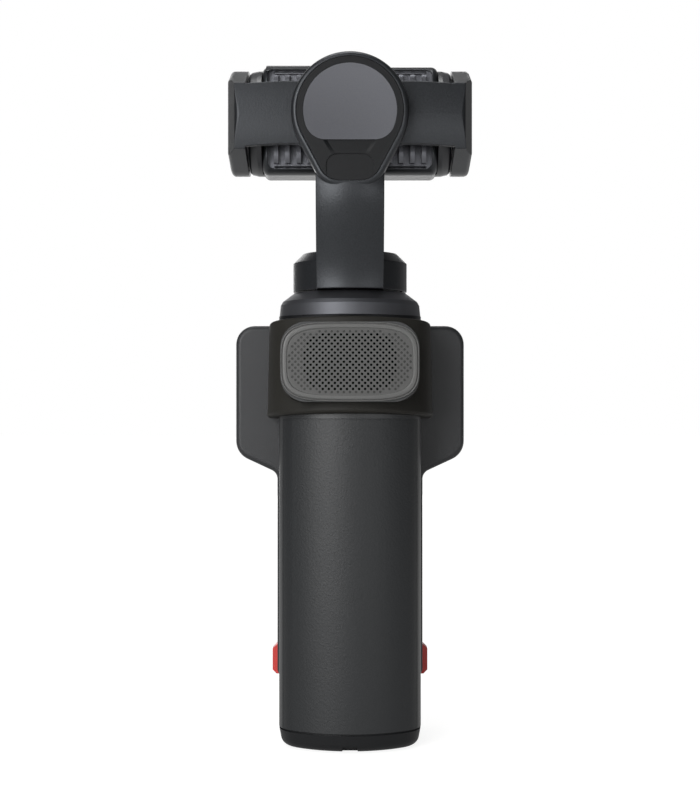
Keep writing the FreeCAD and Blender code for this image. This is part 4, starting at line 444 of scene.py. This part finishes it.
# The barrels are flocked, so they are matt and nearly black.
barrel_black, tree, shader, mm = finish("stepped_black_barrel", "#0c0c0d", 0.6)
flock = node(tree, "TexNoise", {"Vector": mm, "Scale": 2.5, "Detail": 2.0})
bump = node(tree, "Bump", {"Height": flock.outputs["Fac"], "Distance": 0.00002})
feed(shader, {"Normal": bump.outputs["Normal"]})
dress(barrel_black, "main_lens_barrel", "tele_lens_barrel")


def smooth(piece, degrees):
    """Shades a piece smooth up to an edge angle."""
    for face in piece.data.polygons:
        face.use_smooth = True
    sharp = math.radians(degrees)
    shape = bmesh.new()
    shape.from_mesh(piece.data)
    for edge in shape.edges:
        edge.smooth = len(edge.link_faces) == 2 and edge.calc_face_angle(0.0) < sharp
    shape.to_mesh(piece.data)
    shape.free()


def turned_mesh(name, profile, centre):
    """A piece turned about Y from (radius, height) points in mm. The ends may reach the axis."""
    shape = bmesh.new()
    steps = 64
    rows = []
    for radius, height in profile:
        row = []
        for step in range(1 if radius < 1e-6 else steps):
            turn = math.tau * step / steps
            spot = Vector((radius * math.cos(turn), height, radius * math.sin(turn)))
            row.append(shape.verts.new((spot + Vector(centre)) / per_metre))
        rows.append(row)
    for first, second in zip(rows, rows[1:]):
        for step in range(steps):
            corners = [first[step % len(first)], first[(step + 1) % len(first)],
                       second[(step + 1) % len(second)], second[step % len(second)]]
            distinct = list(dict.fromkeys(corners))
            if len(distinct) > 2:
                shape.faces.new(distinct)
    bmesh.ops.recalc_face_normals(shape, faces=shape.faces[:])
    made = piece_of(name, shape)
    smooth(made, 35.0)
    return made


# The element is dark glass with a green coating that shows at its edge.
element_glass, tree, shader, mm = finish("inner_lens_element", "#1a1430", 0.03, ior=1.6)
shader.inputs["Coat Weight"].default_value = 1.0
facing = node(tree, "LayerWeight", {"Blend": 0.4})
shade = node(tree, "Mix", {0: facing.outputs["Facing"], 6: linear("#0d0b18"), 7: linear("#1d4a46")},
             data_type="RGBA")
feed(shader, {"Base Color": shade.outputs[2]})
element_crown, element_rim = 1.1, 0.6
for name, lens_x, bore, seat in (("main_lens_element", -8.2, 3.7, 10.2),
                                 ("tele_lens_element", 9.8, 2.6, 9.6)):
    turns = [math.radians(degrees) for degrees in range(0, 91, 9)]
    dome = [(bore * math.sin(turn), seat + element_crown * math.cos(turn)) for turn in turns]
    dome += [(bore, seat - element_rim), (0.0, seat - element_rim)]
    element = turned_mesh(name, dome, (lens_x, 0.0, tilt_z))
    element.data.materials.append(element_glass)
    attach(element, "camera_head")


# Microphone. A matt tray on the band holds a satin grey rim round a painted perforated sheet.
# A hairline groove runs in the rim. The sheet's middle holes go through; the outer ones are shallow dimples.
mic_z, mic_back = 90.1, 20.3
mic_half_x, mic_half_z = 15.85, 9.15
bow_power = 3.8
# The tray has fine spark grain and soft edges.
mic_matt, tree, shader, mm = finish("matt_microphone_moulding", "#2c2d2e", 0.5)
spark = node(tree, "TexNoise", {"Vector": mm, "Scale": 3.3, "Detail": 2.0})
soft_edge = node(tree, "Bevel", {"Radius": 0.00015}, samples=4)
bump = node(tree, "Bump", {"Height": spark.outputs["Fac"], "Distance": 0.00002,
                           "Normal": soft_edge.outputs["Normal"]})
feed(shader, {"Normal": bump.outputs["Normal"]})
dress(mic_matt, "mic_case")
# The rim's sprayed paint has a fine orange-peel skin, drawn at a quarter of a millimetre.
rim_satin, tree, shader, mm = finish("satin_grey_painted_rim", "#535352", 0.42)
spray = node(tree, "TexNoise", {"Vector": mm, "Scale": 4.0, "Detail": 2.0})
shade = node(tree, "Mix", {0: spray.outputs["Fac"], 6: linear("#4e4e4d"), 7: linear("#585857")},
             data_type="RGBA")
bump = node(tree, "Bump", {"Height": spray.outputs["Fac"], "Distance": 0.000008})
feed(shader, {"Base Color": shade.outputs[2], "Normal": bump.outputs["Normal"]})


def bowed_outline(half_x, half_z):
    """Points round the microphone's bowed outline, a superellipse in the XZ plane, in mm."""
    spots = []
    steps = 72
    for step in range(steps):
        turn = math.tau * step / steps
        over, up = math.cos(turn), math.sin(turn)
        spots.append((math.copysign(half_x * abs(over) ** (2.0 / bow_power), over),
                      mic_z + math.copysign(half_z * abs(up) ** (2.0 / bow_power), up)))
    return spots


def rounded_outline(half_x, half_z, corner, steps):
    """Points round a rounded rectangle behind the microphone in the XZ plane, in mm."""
    spots = []
    for quarter, (sx, sz) in enumerate(((1, 1), (-1, 1), (-1, -1), (1, -1))):
        for step in range(steps + 1):
            turn = math.radians(90.0 * (quarter + step / steps))
            spots.append((sx * (half_x - corner) + corner * math.cos(turn),
                          mic_z + sz * (half_z - corner) + corner * math.sin(turn)))
    return spots


def lofted_ring(name, loops):
    """A closed ring through loops of equal counts, each a list of points in mm."""
    shape = bmesh.new()
    rows = [[shape.verts.new(Vector(spot) / per_metre) for spot in loop] for loop in loops]
    count = len(rows[0])
    for index, row in enumerate(rows):
        after = rows[(index + 1) % len(rows)]
        for step in range(count):
            shape.faces.new((row[step], row[(step + 1) % count], after[(step + 1) % count], after[step]))
    bmesh.ops.recalc_face_normals(shape, faces=shape.faces[:])
    made = piece_of(name, shape)
    smooth(made, 50.0)
    return made


# Each pair is an inset from the outline and a depth below the face: the outer wall and its lip, the hairline
# groove, the broad round brow, and the inner wall.
rim_profile = ((0.1, 0.9), (0.1, 0.22), (0.14, 0.12), (0.22, 0.08), (0.32, 0.1), (0.36, 0.16), (0.38, 0.4),
               (0.48, 0.4), (0.5, 0.14), (0.55, 0.05), (0.66, 0.0), (1.34, 0.01), (1.46, 0.04), (1.52, 0.12),
               (1.54, 0.24), (1.54, 0.9))
rim_width = 1.55
rim_loops = []
for inset, depth in rim_profile:
    outline = bowed_outline(mic_half_x - inset, mic_half_z - inset)
    rim_loops.append([(x, depth - mic_back, z) for x, z in outline])
mic_rim = lofted_ring("mic_rim", rim_loops)
mic_rim.data.materials.append(rim_satin)
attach(mic_rim, "handle")
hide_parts("mic_bezel")

# The sheet's paint is thinner, and shows a little of the metal under it.
painted_sheet, tree, shader, mm = finish("painted_perforated_sheet", "#484847", 0.42, metallic=0.2)
spray = node(tree, "TexNoise", {"Vector": mm, "Scale": 4.0, "Detail": 2.0})
shade = node(tree, "Mix", {0: spray.outputs["Fac"], 6: linear("#434342"), 7: linear("#4d4d4c")},
             data_type="RGBA")
bump = node(tree, "Bump", {"Height": spray.outputs["Fac"], "Distance": 0.000012})
feed(shader, {"Base Color": shade.outputs[2], "Normal": bump.outputs["Normal"]})
sheet_half_x, sheet_half_z = mic_half_x - rim_width, mic_half_z - rim_width
sheet_face, sheet_back = 0.16, 0.8
hole_pitch, hole_radius, hole_margin, hole_rows = 1.376, 0.31, 0.45, 10


def flat_curve(name, loops, low, high):
    """A holed sheet in the XZ plane from closed loops: the first is the edge, the rest are holes."""
    curve = bpy.data.curves.new(name, "CURVE")
    curve.dimensions = "2D"
    curve.fill_mode = "BOTH"
    curve.extrude = (high - low) / (2.0 * per_metre)
    for loop in loops:
        spline = curve.splines.new("POLY")
        spline.points.add(len(loop) - 1)
        for spot, (x, z) in zip(spline.points, loop):
            spot.co = (x / per_metre, z / per_metre, 0.0, 1.0)
        spline.use_cyclic_u = True
    maker = bpy.data.objects.new(name + "_maker", curve)
    bpy.context.scene.collection.objects.link(maker)
    bpy.context.view_layer.update()
    mesh = bpy.data.meshes.new_from_object(maker)
    bpy.data.objects.remove(maker)
    upright = Matrix.Rotation(math.radians(90.0), 4, "X")
    mesh.transform(Matrix.Translation((0.0, (low + high) / (2.0 * per_metre), 0.0)) @ upright)
    mesh.name = name
    made = bpy.data.objects.new(name, mesh)
    bpy.context.scene.collection.objects.link(made)
    return made


# Holes inside the open field go through. The dimples outside it have a ledge behind them, painted dark as
# shade.
open_half_x, open_half_rows, open_power, open_limit = 7.8 * hole_pitch, 10.0, 3, 0.99
ledge_face, ledge_back, ledge_overlap = 0.4, 0.75, 0.06
sheet_loops = [bowed_outline(sheet_half_x, sheet_half_z)]
dimples = []
for row in range(-hole_rows, hole_rows + 1):
    z = row * hole_pitch / 2.0
    for column in range(-hole_rows, hole_rows + 1):
        x = (column + 0.5 * (row % 2)) * hole_pitch
        beside = abs(x) / (sheet_half_x - hole_margin)
        above = abs(z) / (sheet_half_z - hole_margin)
        if beside ** bow_power + above ** bow_power > 1.0:
            continue
        sheet_loops.append(round_outline(x, mic_z + z, hole_radius, 12))
        if (abs(x) / open_half_x) ** open_power + (abs(row) / open_half_rows) ** open_power > open_limit:
            dimples.append(round_outline(x, mic_z + z, hole_radius + ledge_overlap, 10))
mic_sheet = flat_curve("mic_sheet", sheet_loops, sheet_face - mic_back, sheet_back - mic_back)
mic_sheet.data.materials.append(painted_sheet)
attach(mic_sheet, "handle")
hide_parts("mic_grille")
mic_ledge = prism_mesh("mic_ledge", dimples, "y", ledge_face - mic_back, ledge_back - mic_back)
# The dimples' floors are painted darker than the sheet, as the shade in them.
dimple_shade_paint, tree, shader, mm = finish("painted_shade_in_dimples", "#232322", 0.5)
spray = node(tree, "TexNoise", {"Vector": mm, "Scale": 2.0})
shade = node(tree, "Mix", {0: spray.outputs["Fac"], 6: linear("#1f1f1e"), 7: linear("#282827")},
             data_type="RGBA")
feed(shader, {"Base Color": shade.outputs[2]})
mic_ledge.data.materials.append(dimple_shade_paint)
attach(mic_ledge, "handle")
well_inset, well_corner = 0.2, 4.0
well_face, well_back = 0.9, 1.1
well_outline = rounded_outline(sheet_half_x - well_inset, sheet_half_z - well_inset, well_corner, 6)
# The well is a flat plate painted near black, as the shade behind the sheet's open holes.
mic_well = prism_mesh("mic_well", [well_outline], "y", well_face - mic_back, well_back - mic_back)
mic_well.data.materials.append(recess_shade_black)
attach(mic_well, "handle")


# Clip band. A C of smoke-coloured silicone, 2.2 to 2.7 mm thick, hugs the grip and holds the microphone.
# It is clear rubber with a brown-black dye: light gets a little way in at its edges, and its skin is dull.
smoke_silicone, tree, shader, mm = finish("smoke_silicone", "#2d2c29", 0.5, ior=1.41, specular=0.1)
shader.inputs["Transmission Weight"].default_value = 0.2
cloud = node(tree, "TexNoise", {"Vector": mm, "Scale": 0.17})
shade = node(tree, "Mix", {0: cloud.outputs["Fac"], 6: linear("#2a2926"), 7: linear("#302f2c")},
             data_type="RGBA")
film = node(tree, "TexNoise", {"Vector": mm, "Scale": 2.0, "Detail": 3.0})
bump = node(tree, "Bump", {"Height": film.outputs["Fac"], "Distance": 0.000012})
feed(shader, {"Base Color": shade.outputs[2], "Normal": bump.outputs["Normal"]})

half_width, back, side_radius, side_turn = 16.8, 15.0, 8.0, math.radians(55.0)
side_x = half_width - side_radius
back_radius = side_radius + side_x / math.cos(side_turn)
back_y = back_radius - back
side_y = back_y - (back_radius - side_radius) * math.sin(side_turn)
grip_front = 7.5
back_steps, side_steps, flank_steps = 24, 16, 8


def grip_path(offset):
    """The grip's outline at an offset from one front edge round the back to the other, in mm."""
    spots = []
    reach = math.pi / 2.0 - side_turn
    for step in range(back_steps + 1):
        turn = reach * step / back_steps
        spots.append(((back_radius + offset) * math.sin(turn),
                      back_y - (back_radius + offset) * math.cos(turn)))
    for step in range(1, side_steps + 1):
        turn = side_turn * (1.0 - step / side_steps)
        spots.append((side_x + (side_radius + offset) * math.cos(turn),
                      side_y - (side_radius + offset) * math.sin(turn)))
    for step in range(1, flank_steps + 1):
        spots.append((half_width + offset, side_y + (grip_front - side_y) * step / flank_steps))
    return [(-x, y) for x, y in spots[:0:-1]] + spots


inner_gap, thick_top, thick_low = 0.1, 2.25, 2.7
edge_round, edge_steps = 0.7, 5
bead, bead_tall, bead_brow = 0.12, 1.3, 0.7
band_low, band_top = 78.5, 100.8
# Both edges slope down by 5.4 degrees from the back to just past the grip's rounded sides, then run level.
band_dip, dip_end = math.tan(math.radians(5.4)), side_y + 2.0
# The band's section: distance from the grip, height from an edge, and which edge. The bead stands out along
# the lower edge, and slopes back into the band from seven tenths of its height.
profile = [(inner_gap, 0.0, "low")]
for share in range(edge_steps + 1):
    turn = math.radians(90.0 * share / edge_steps)
    profile.append((thick_low + bead - edge_round + edge_round * math.sin(turn),
                    edge_round - edge_round * math.cos(turn), "low"))
profile += [(thick_low + bead, bead_tall * bead_brow, "low"), (thick_low, bead_tall, "low"),
            (thick_top, edge_round, "high")]
for share in range(edge_steps - 1, -1, -1):
    turn = math.radians(90.0 * share / edge_steps)
    profile.append((thick_top - edge_round + edge_round * math.sin(turn),
                    edge_round - edge_round * math.cos(turn), "high"))
profile.append((inner_gap, 0.0, "high"))
shape = bmesh.new()
rows = []
for offset, rise, side in profile:
    row = []
    for x, y in grip_path(offset):
        dip = (min(y, dip_end) + back + thick_low) * band_dip
        z = band_low - dip + rise if side == "low" else band_top - dip - rise
        row.append(shape.verts.new((x / per_metre, y / per_metre, z / per_metre)))
    rows.append(row)
for index, row in enumerate(rows):
    after = rows[(index + 1) % len(rows)]
    for step in range(len(row) - 1):
        shape.faces.new((row[step], row[step + 1], after[step + 1], after[step]))
for end in (0, -1):
    shape.faces.new([row[end] for row in rows])
bmesh.ops.recalc_face_normals(shape, faces=shape.faces[:])
band = piece_of("band", shape)
smooth(band, 40.0)
band.data.materials.append(smoke_silicone)
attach(band, "handle")
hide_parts("clip_band")

# The raised pad behind the microphone grows towards the band, and is open in the middle. Each pair is how
# far its outline has grown and its place along Y.
pad_half_x, pad_half_z, pad_corner = 15.0, 8.3, 5.2
well_half_x, well_half_z, well_round, well_y = 11.0, 4.3, 2.0, -15.4
pad_loops = []
for grow, y in ((0.9, -14.6), (0.5, -16.0), (0.2, -17.0), (0.0, -17.5), (-0.3, -17.78), (-4.0, -17.78)):
    outline = rounded_outline(pad_half_x + grow, pad_half_z + grow, pad_corner, 12)
    pad_loops.append([(x, y, z) for x, z in outline])
pad_loops.append([(x, well_y, z) for x, z in rounded_outline(well_half_x, well_half_z, well_round, 12)])
band_pad = lofted_ring("band_pad", pad_loops)
band_pad.data.materials.append(smoke_silicone)
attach(band_pad, "handle")


# Screen remote. Two satin nylon mouldings meet in a thin dark parting line, and the front one is glossier.
# The cover glass is tinted and lies flush over the display.
parting_y, parting_half = 12.4, 0.07
for shell, name, colour, roughness, specular, grain in (
        ("remote_back_shell", "satin_remote_nylon", "#2c2d2f", 0.42, 0.35, 0.00002),
        ("remote_front_shell", "satin_face_nylon", "#2a2b2d", 0.38, 0.5, 0.000012)):
    shell_nylon, tree, shader, mm = finish(name, colour, roughness, specular=specular)
    spark = node(tree, "TexNoise", {"Vector": mm, "Scale": 3.0, "Detail": 3.0})
    split = node(tree, "SeparateXYZ", {"Vector": mm})
    away = node(tree, "Math", {0: split.outputs["Y"], 1: parting_y, 2: parting_half}, operation="COMPARE")
    shade = node(tree, "Mix", {0: away.outputs[0], 6: linear(colour), 7: linear("#08080a")}, data_type="RGBA")
    soft_edge = node(tree, "Bevel", {"Radius": 0.0003}, samples=4)
    bump = node(tree, "Bump", {"Height": spark.outputs["Fac"], "Distance": grain,
                               "Normal": soft_edge.outputs["Normal"]})
    feed(shader, {"Base Color": shade.outputs[2], "Normal": bump.outputs["Normal"]})
    dress(shell_nylon, shell)
# Fingers leave faint smears about 7 mm wide on the glass.
tinted_glass, tree, shader, mm = finish("tinted_cover_glass", "#050506", 0.05, ior=1.52)
shader.inputs["Coat Weight"].default_value = 1.0
smears = node(tree, "TexNoise", {"Vector": mm, "Scale": 0.14, "Detail": 3.0})
wear = node(tree, "MapRange", {"Value": smears.outputs["Fac"], "To Min": 0.03, "To Max": 0.1})
feed(shader, {"Roughness": wear.outputs["Result"]})
dress(tinted_glass, "screen_glass")
# The display is off: near black, with its cells drawn 0.2 mm across.
display_film, tree, shader, mm = finish("dark_display_film", "#0a0d12", 0.25)
cells = node(tree, "TexNoise", {"Vector": mm, "Scale": 5.0})
shade = node(tree, "Mix", {0: cells.outputs["Fac"], 6: linear("#090c11"), 7: linear("#0c1016")},
             data_type="RGBA")
feed(shader, {"Base Color": shade.outputs[2]})
dress(display_film, "screen_panel")


# Thumb stick and face buttons. The stick's cap is moulded rubber with a studded top, 0.7 mm apart.
# The keys are nylon, sprayed satin grey.
# The rubber is matt, and its studs are low domes.
rubber, tree, shader, mm = finish("moulded_silicone_rubber", "#262728", 0.62, specular=0.35)
studs = node(tree, "TexVoronoi", {"Vector": mm, "Scale": 1.4, "Randomness": 0.2})
soft_edge = node(tree, "Bevel", {"Radius": 0.0002}, samples=4)
bump = node(tree, "Bump", {"Height": studs.outputs["Distance"], "Distance": 0.00012,
                           "Normal": soft_edge.outputs["Normal"]})
feed(shader, {"Normal": bump.outputs["Normal"]})
dress(rubber, "stick_cap")
# The keys' paint has a faint orange-peel skin.
key_grey, tree, shader, mm = finish("satin_sprayed_key", "#5a5b5d", 0.4)
spray = node(tree, "TexNoise", {"Vector": mm, "Scale": 4.0, "Detail": 2.0})
soft_edge = node(tree, "Bevel", {"Radius": 0.00025}, samples=4)
bump = node(tree, "Bump", {"Height": spray.outputs["Fac"], "Distance": 0.00001,
                           "Normal": soft_edge.outputs["Normal"]})
feed(shader, {"Normal": bump.outputs["Normal"]})
dress(key_grey, "mode_button", "power_button")


# Red keys. The record button and the two squeeze buttons are moulded through in red, lightly polished.
# The dye streaks a little along the flow, a few tenths of a millimetre wide.
red_gloss, tree, shader, mm = finish("red_moulded_plastic", "#d2413d", 0.36, specular=0.4)
streak = node(tree, "TexNoise", {"Vector": mm, "Scale": 2.2, "Detail": 2.0})
shade = node(tree, "Mix", {0: streak.outputs["Fac"], 6: linear("#cc3c38"), 7: linear("#d84642")},
             data_type="RGBA")
soft_edge = node(tree, "Bevel", {"Radius": 0.00035}, samples=4)
bump = node(tree, "Bump", {"Height": streak.outputs["Fac"], "Distance": 0.00001,
                           "Normal": soft_edge.outputs["Normal"]})
feed(shader, {"Base Color": shade.outputs[2], "Normal": bump.outputs["Normal"]})
dress(red_gloss, "record_button", "release_button_left", "release_button_right")


# Studio. A pale paper floor and backdrop, white to the camera and in clear or polished things, with a faint
# shadow by the object. Four soft boxes stand on the camera's side: key, strip, broad and fill. One hangs
# above, and one lights the object's front from the far side. The room on the camera's side is dim.
white = linear("#ffffff")
# Shiny things show about half of the paper's white. The paper is a little less white from 250 to 80 mm off,
# so that the object's shadow shows on it.
paper_in_gloss = 0.55
shade_near, shade_far, shade_level = 80.0, 250.0, 0.87
# The paper is matt, with fibres drawn 2 mm long.
paper, tree, shader, mm = finish("pale_paper", "#8c8c8b", 0.9, specular=0.1)
fibres = node(tree, "TexNoise", {"Vector": mm, "Scale": 0.5, "Detail": 2.0})
bump = node(tree, "Bump", {"Height": fibres.outputs["Fac"], "Distance": 0.00002})
feed(shader, {"Normal": bump.outputs["Normal"]})
path = node(tree, "LightPath")
seen = node(tree, "Math", {0: path.outputs["Is Camera Ray"], 1: path.outputs["Is Transmission Ray"]},
            operation="MAXIMUM")
mirrored = node(tree, "Math", {0: path.outputs["Is Glossy Ray"], 1: paper_in_gloss}, operation="MULTIPLY")
share = node(tree, "Math", {0: seen.outputs[0], 1: mirrored.outputs[0]}, operation="MAXIMUM")
away = node(tree, "VectorMath", {0: mm}, operation="LENGTH")
level = node(tree, "MapRange", {"Value": away.outputs["Value"], "From Min": shade_near, "From Max": shade_far,
                                "To Min": shade_level, "To Max": 1.0})
lit = node(tree, "Emission", {"Color": white, "Strength": level.outputs["Result"]})
glow = node(tree, "AddShader", {0: shader.outputs["BSDF"], 1: lit.outputs["Emission"]})
either = node(tree, "MixShader", {0: share.outputs[0], 1: shader.outputs["BSDF"], 2: glow.outputs["Shader"]})
tree.links.new(either.outputs["Shader"], tree.nodes["Material Output"].inputs["Surface"])
floor_size, floor_drop = 6.0, 0.0002
bpy.ops.mesh.primitive_plane_add(size=floor_size, location=(0.0, 0.0, -floor_drop))
floor = bpy.context.object
floor.name = "floor"
floor.data.materials.append(paper)

# The room gives a dim level all round, and shiny things see the backdrop get lighter away from the camera.
room_level, backdrop_near, backdrop_far = 0.1, 0.05, 0.24
world = bpy.data.worlds.new("studio")
bpy.context.scene.world = world
world.use_nodes = True
tree = world.node_tree
path = node(tree, "LightPath")
shown = node(tree, "Math", {0: path.outputs["Is Camera Ray"], 1: path.outputs["Is Transmission Ray"]},
             operation="MAXIMUM")
towards = node(tree, "TexCoord")
split = node(tree, "SeparateXYZ", {"Vector": towards.outputs["Generated"]})
backdrop = node(tree, "MapRange", {"Value": split.outputs["Y"], "From Min": 0.2, "From Max": 0.7,
                                   "To Min": backdrop_near, "To Max": backdrop_far})
mirrored = node(tree, "Math", {0: path.outputs["Is Glossy Ray"], 1: backdrop.outputs["Result"]},
                operation="MULTIPLY")
share = node(tree, "Math", {0: shown.outputs[0], 1: mirrored.outputs[0]}, operation="MAXIMUM")
level = node(tree, "Math", {0: share.outputs[0], 1: room_level}, operation="MAXIMUM")
sky = node(tree, "Background", {"Color": white, "Strength": level.outputs[0]})
tree.links.new(sky.outputs["Background"], tree.nodes["World Output"].inputs["Surface"])


def soft_lamp(name, place, aim, width, height, watts):
    """A soft box at a place, aimed at a point on the object. Its sizes and places are in metres."""
    lamp = bpy.data.lights.new(name, "AREA")
    lamp.shape = "RECTANGLE"
    lamp.size = width
    lamp.size_y = height
    lamp.energy = watts
    made = bpy.data.objects.new(name, lamp)
    bpy.context.scene.collection.objects.link(made)
    made.location = place
    made.rotation_euler = (Vector(aim) - Vector(place)).to_track_quat("-Z", "Y").to_euler()


soft_lamp("key_lamp", (-0.35, -0.6, 0.5), (0.0, 0.0, 0.1), width=0.6, height=0.5, watts=2.2)
soft_lamp("strip_lamp", (-0.23, -0.42, 0.2), (0.0, 0.0, 0.2), width=0.24, height=0.39, watts=1.55)
soft_lamp("broad_lamp", (0.05, -0.85, 0.14), (0.0, 0.0, 0.06), width=0.9, height=0.26, watts=1.0)
soft_lamp("fill_lamp", (0.5, -0.75, 0.08), (0.0, 0.0, 0.03), width=0.4, height=0.14, watts=0.5)
soft_lamp("top_lamp", (-0.05, 0.0, 0.75), (0.0, 0.0, 0.1), width=0.35, height=0.35, watts=2.2)
soft_lamp("front_lamp", (-0.1, 0.85, 0.3), (0.0, 0.0, 0.1), width=0.6, height=0.6, watts=2.2)


# Camera. It looks level at the back of the grip, from 360 mm behind the pan axis and about half way up,
# with the photograph's field of view.
camera_back, camera_height = 0.36, 0.0814
lens = bpy.data.cameras.new("camera")
lens.sensor_width = 36.0
lens.lens = 67.5
lens.clip_start = 0.01
camera = bpy.data.objects.new("camera", lens)
bpy.context.scene.collection.objects.link(camera)
camera.location = (0.0, -camera_back, camera_height)
camera.rotation_euler = (math.radians(90.0), 0.0, 0.0)
bpy.context.scene.camera = camera
bpy.context.scene.view_settings.view_transform = "Standard"
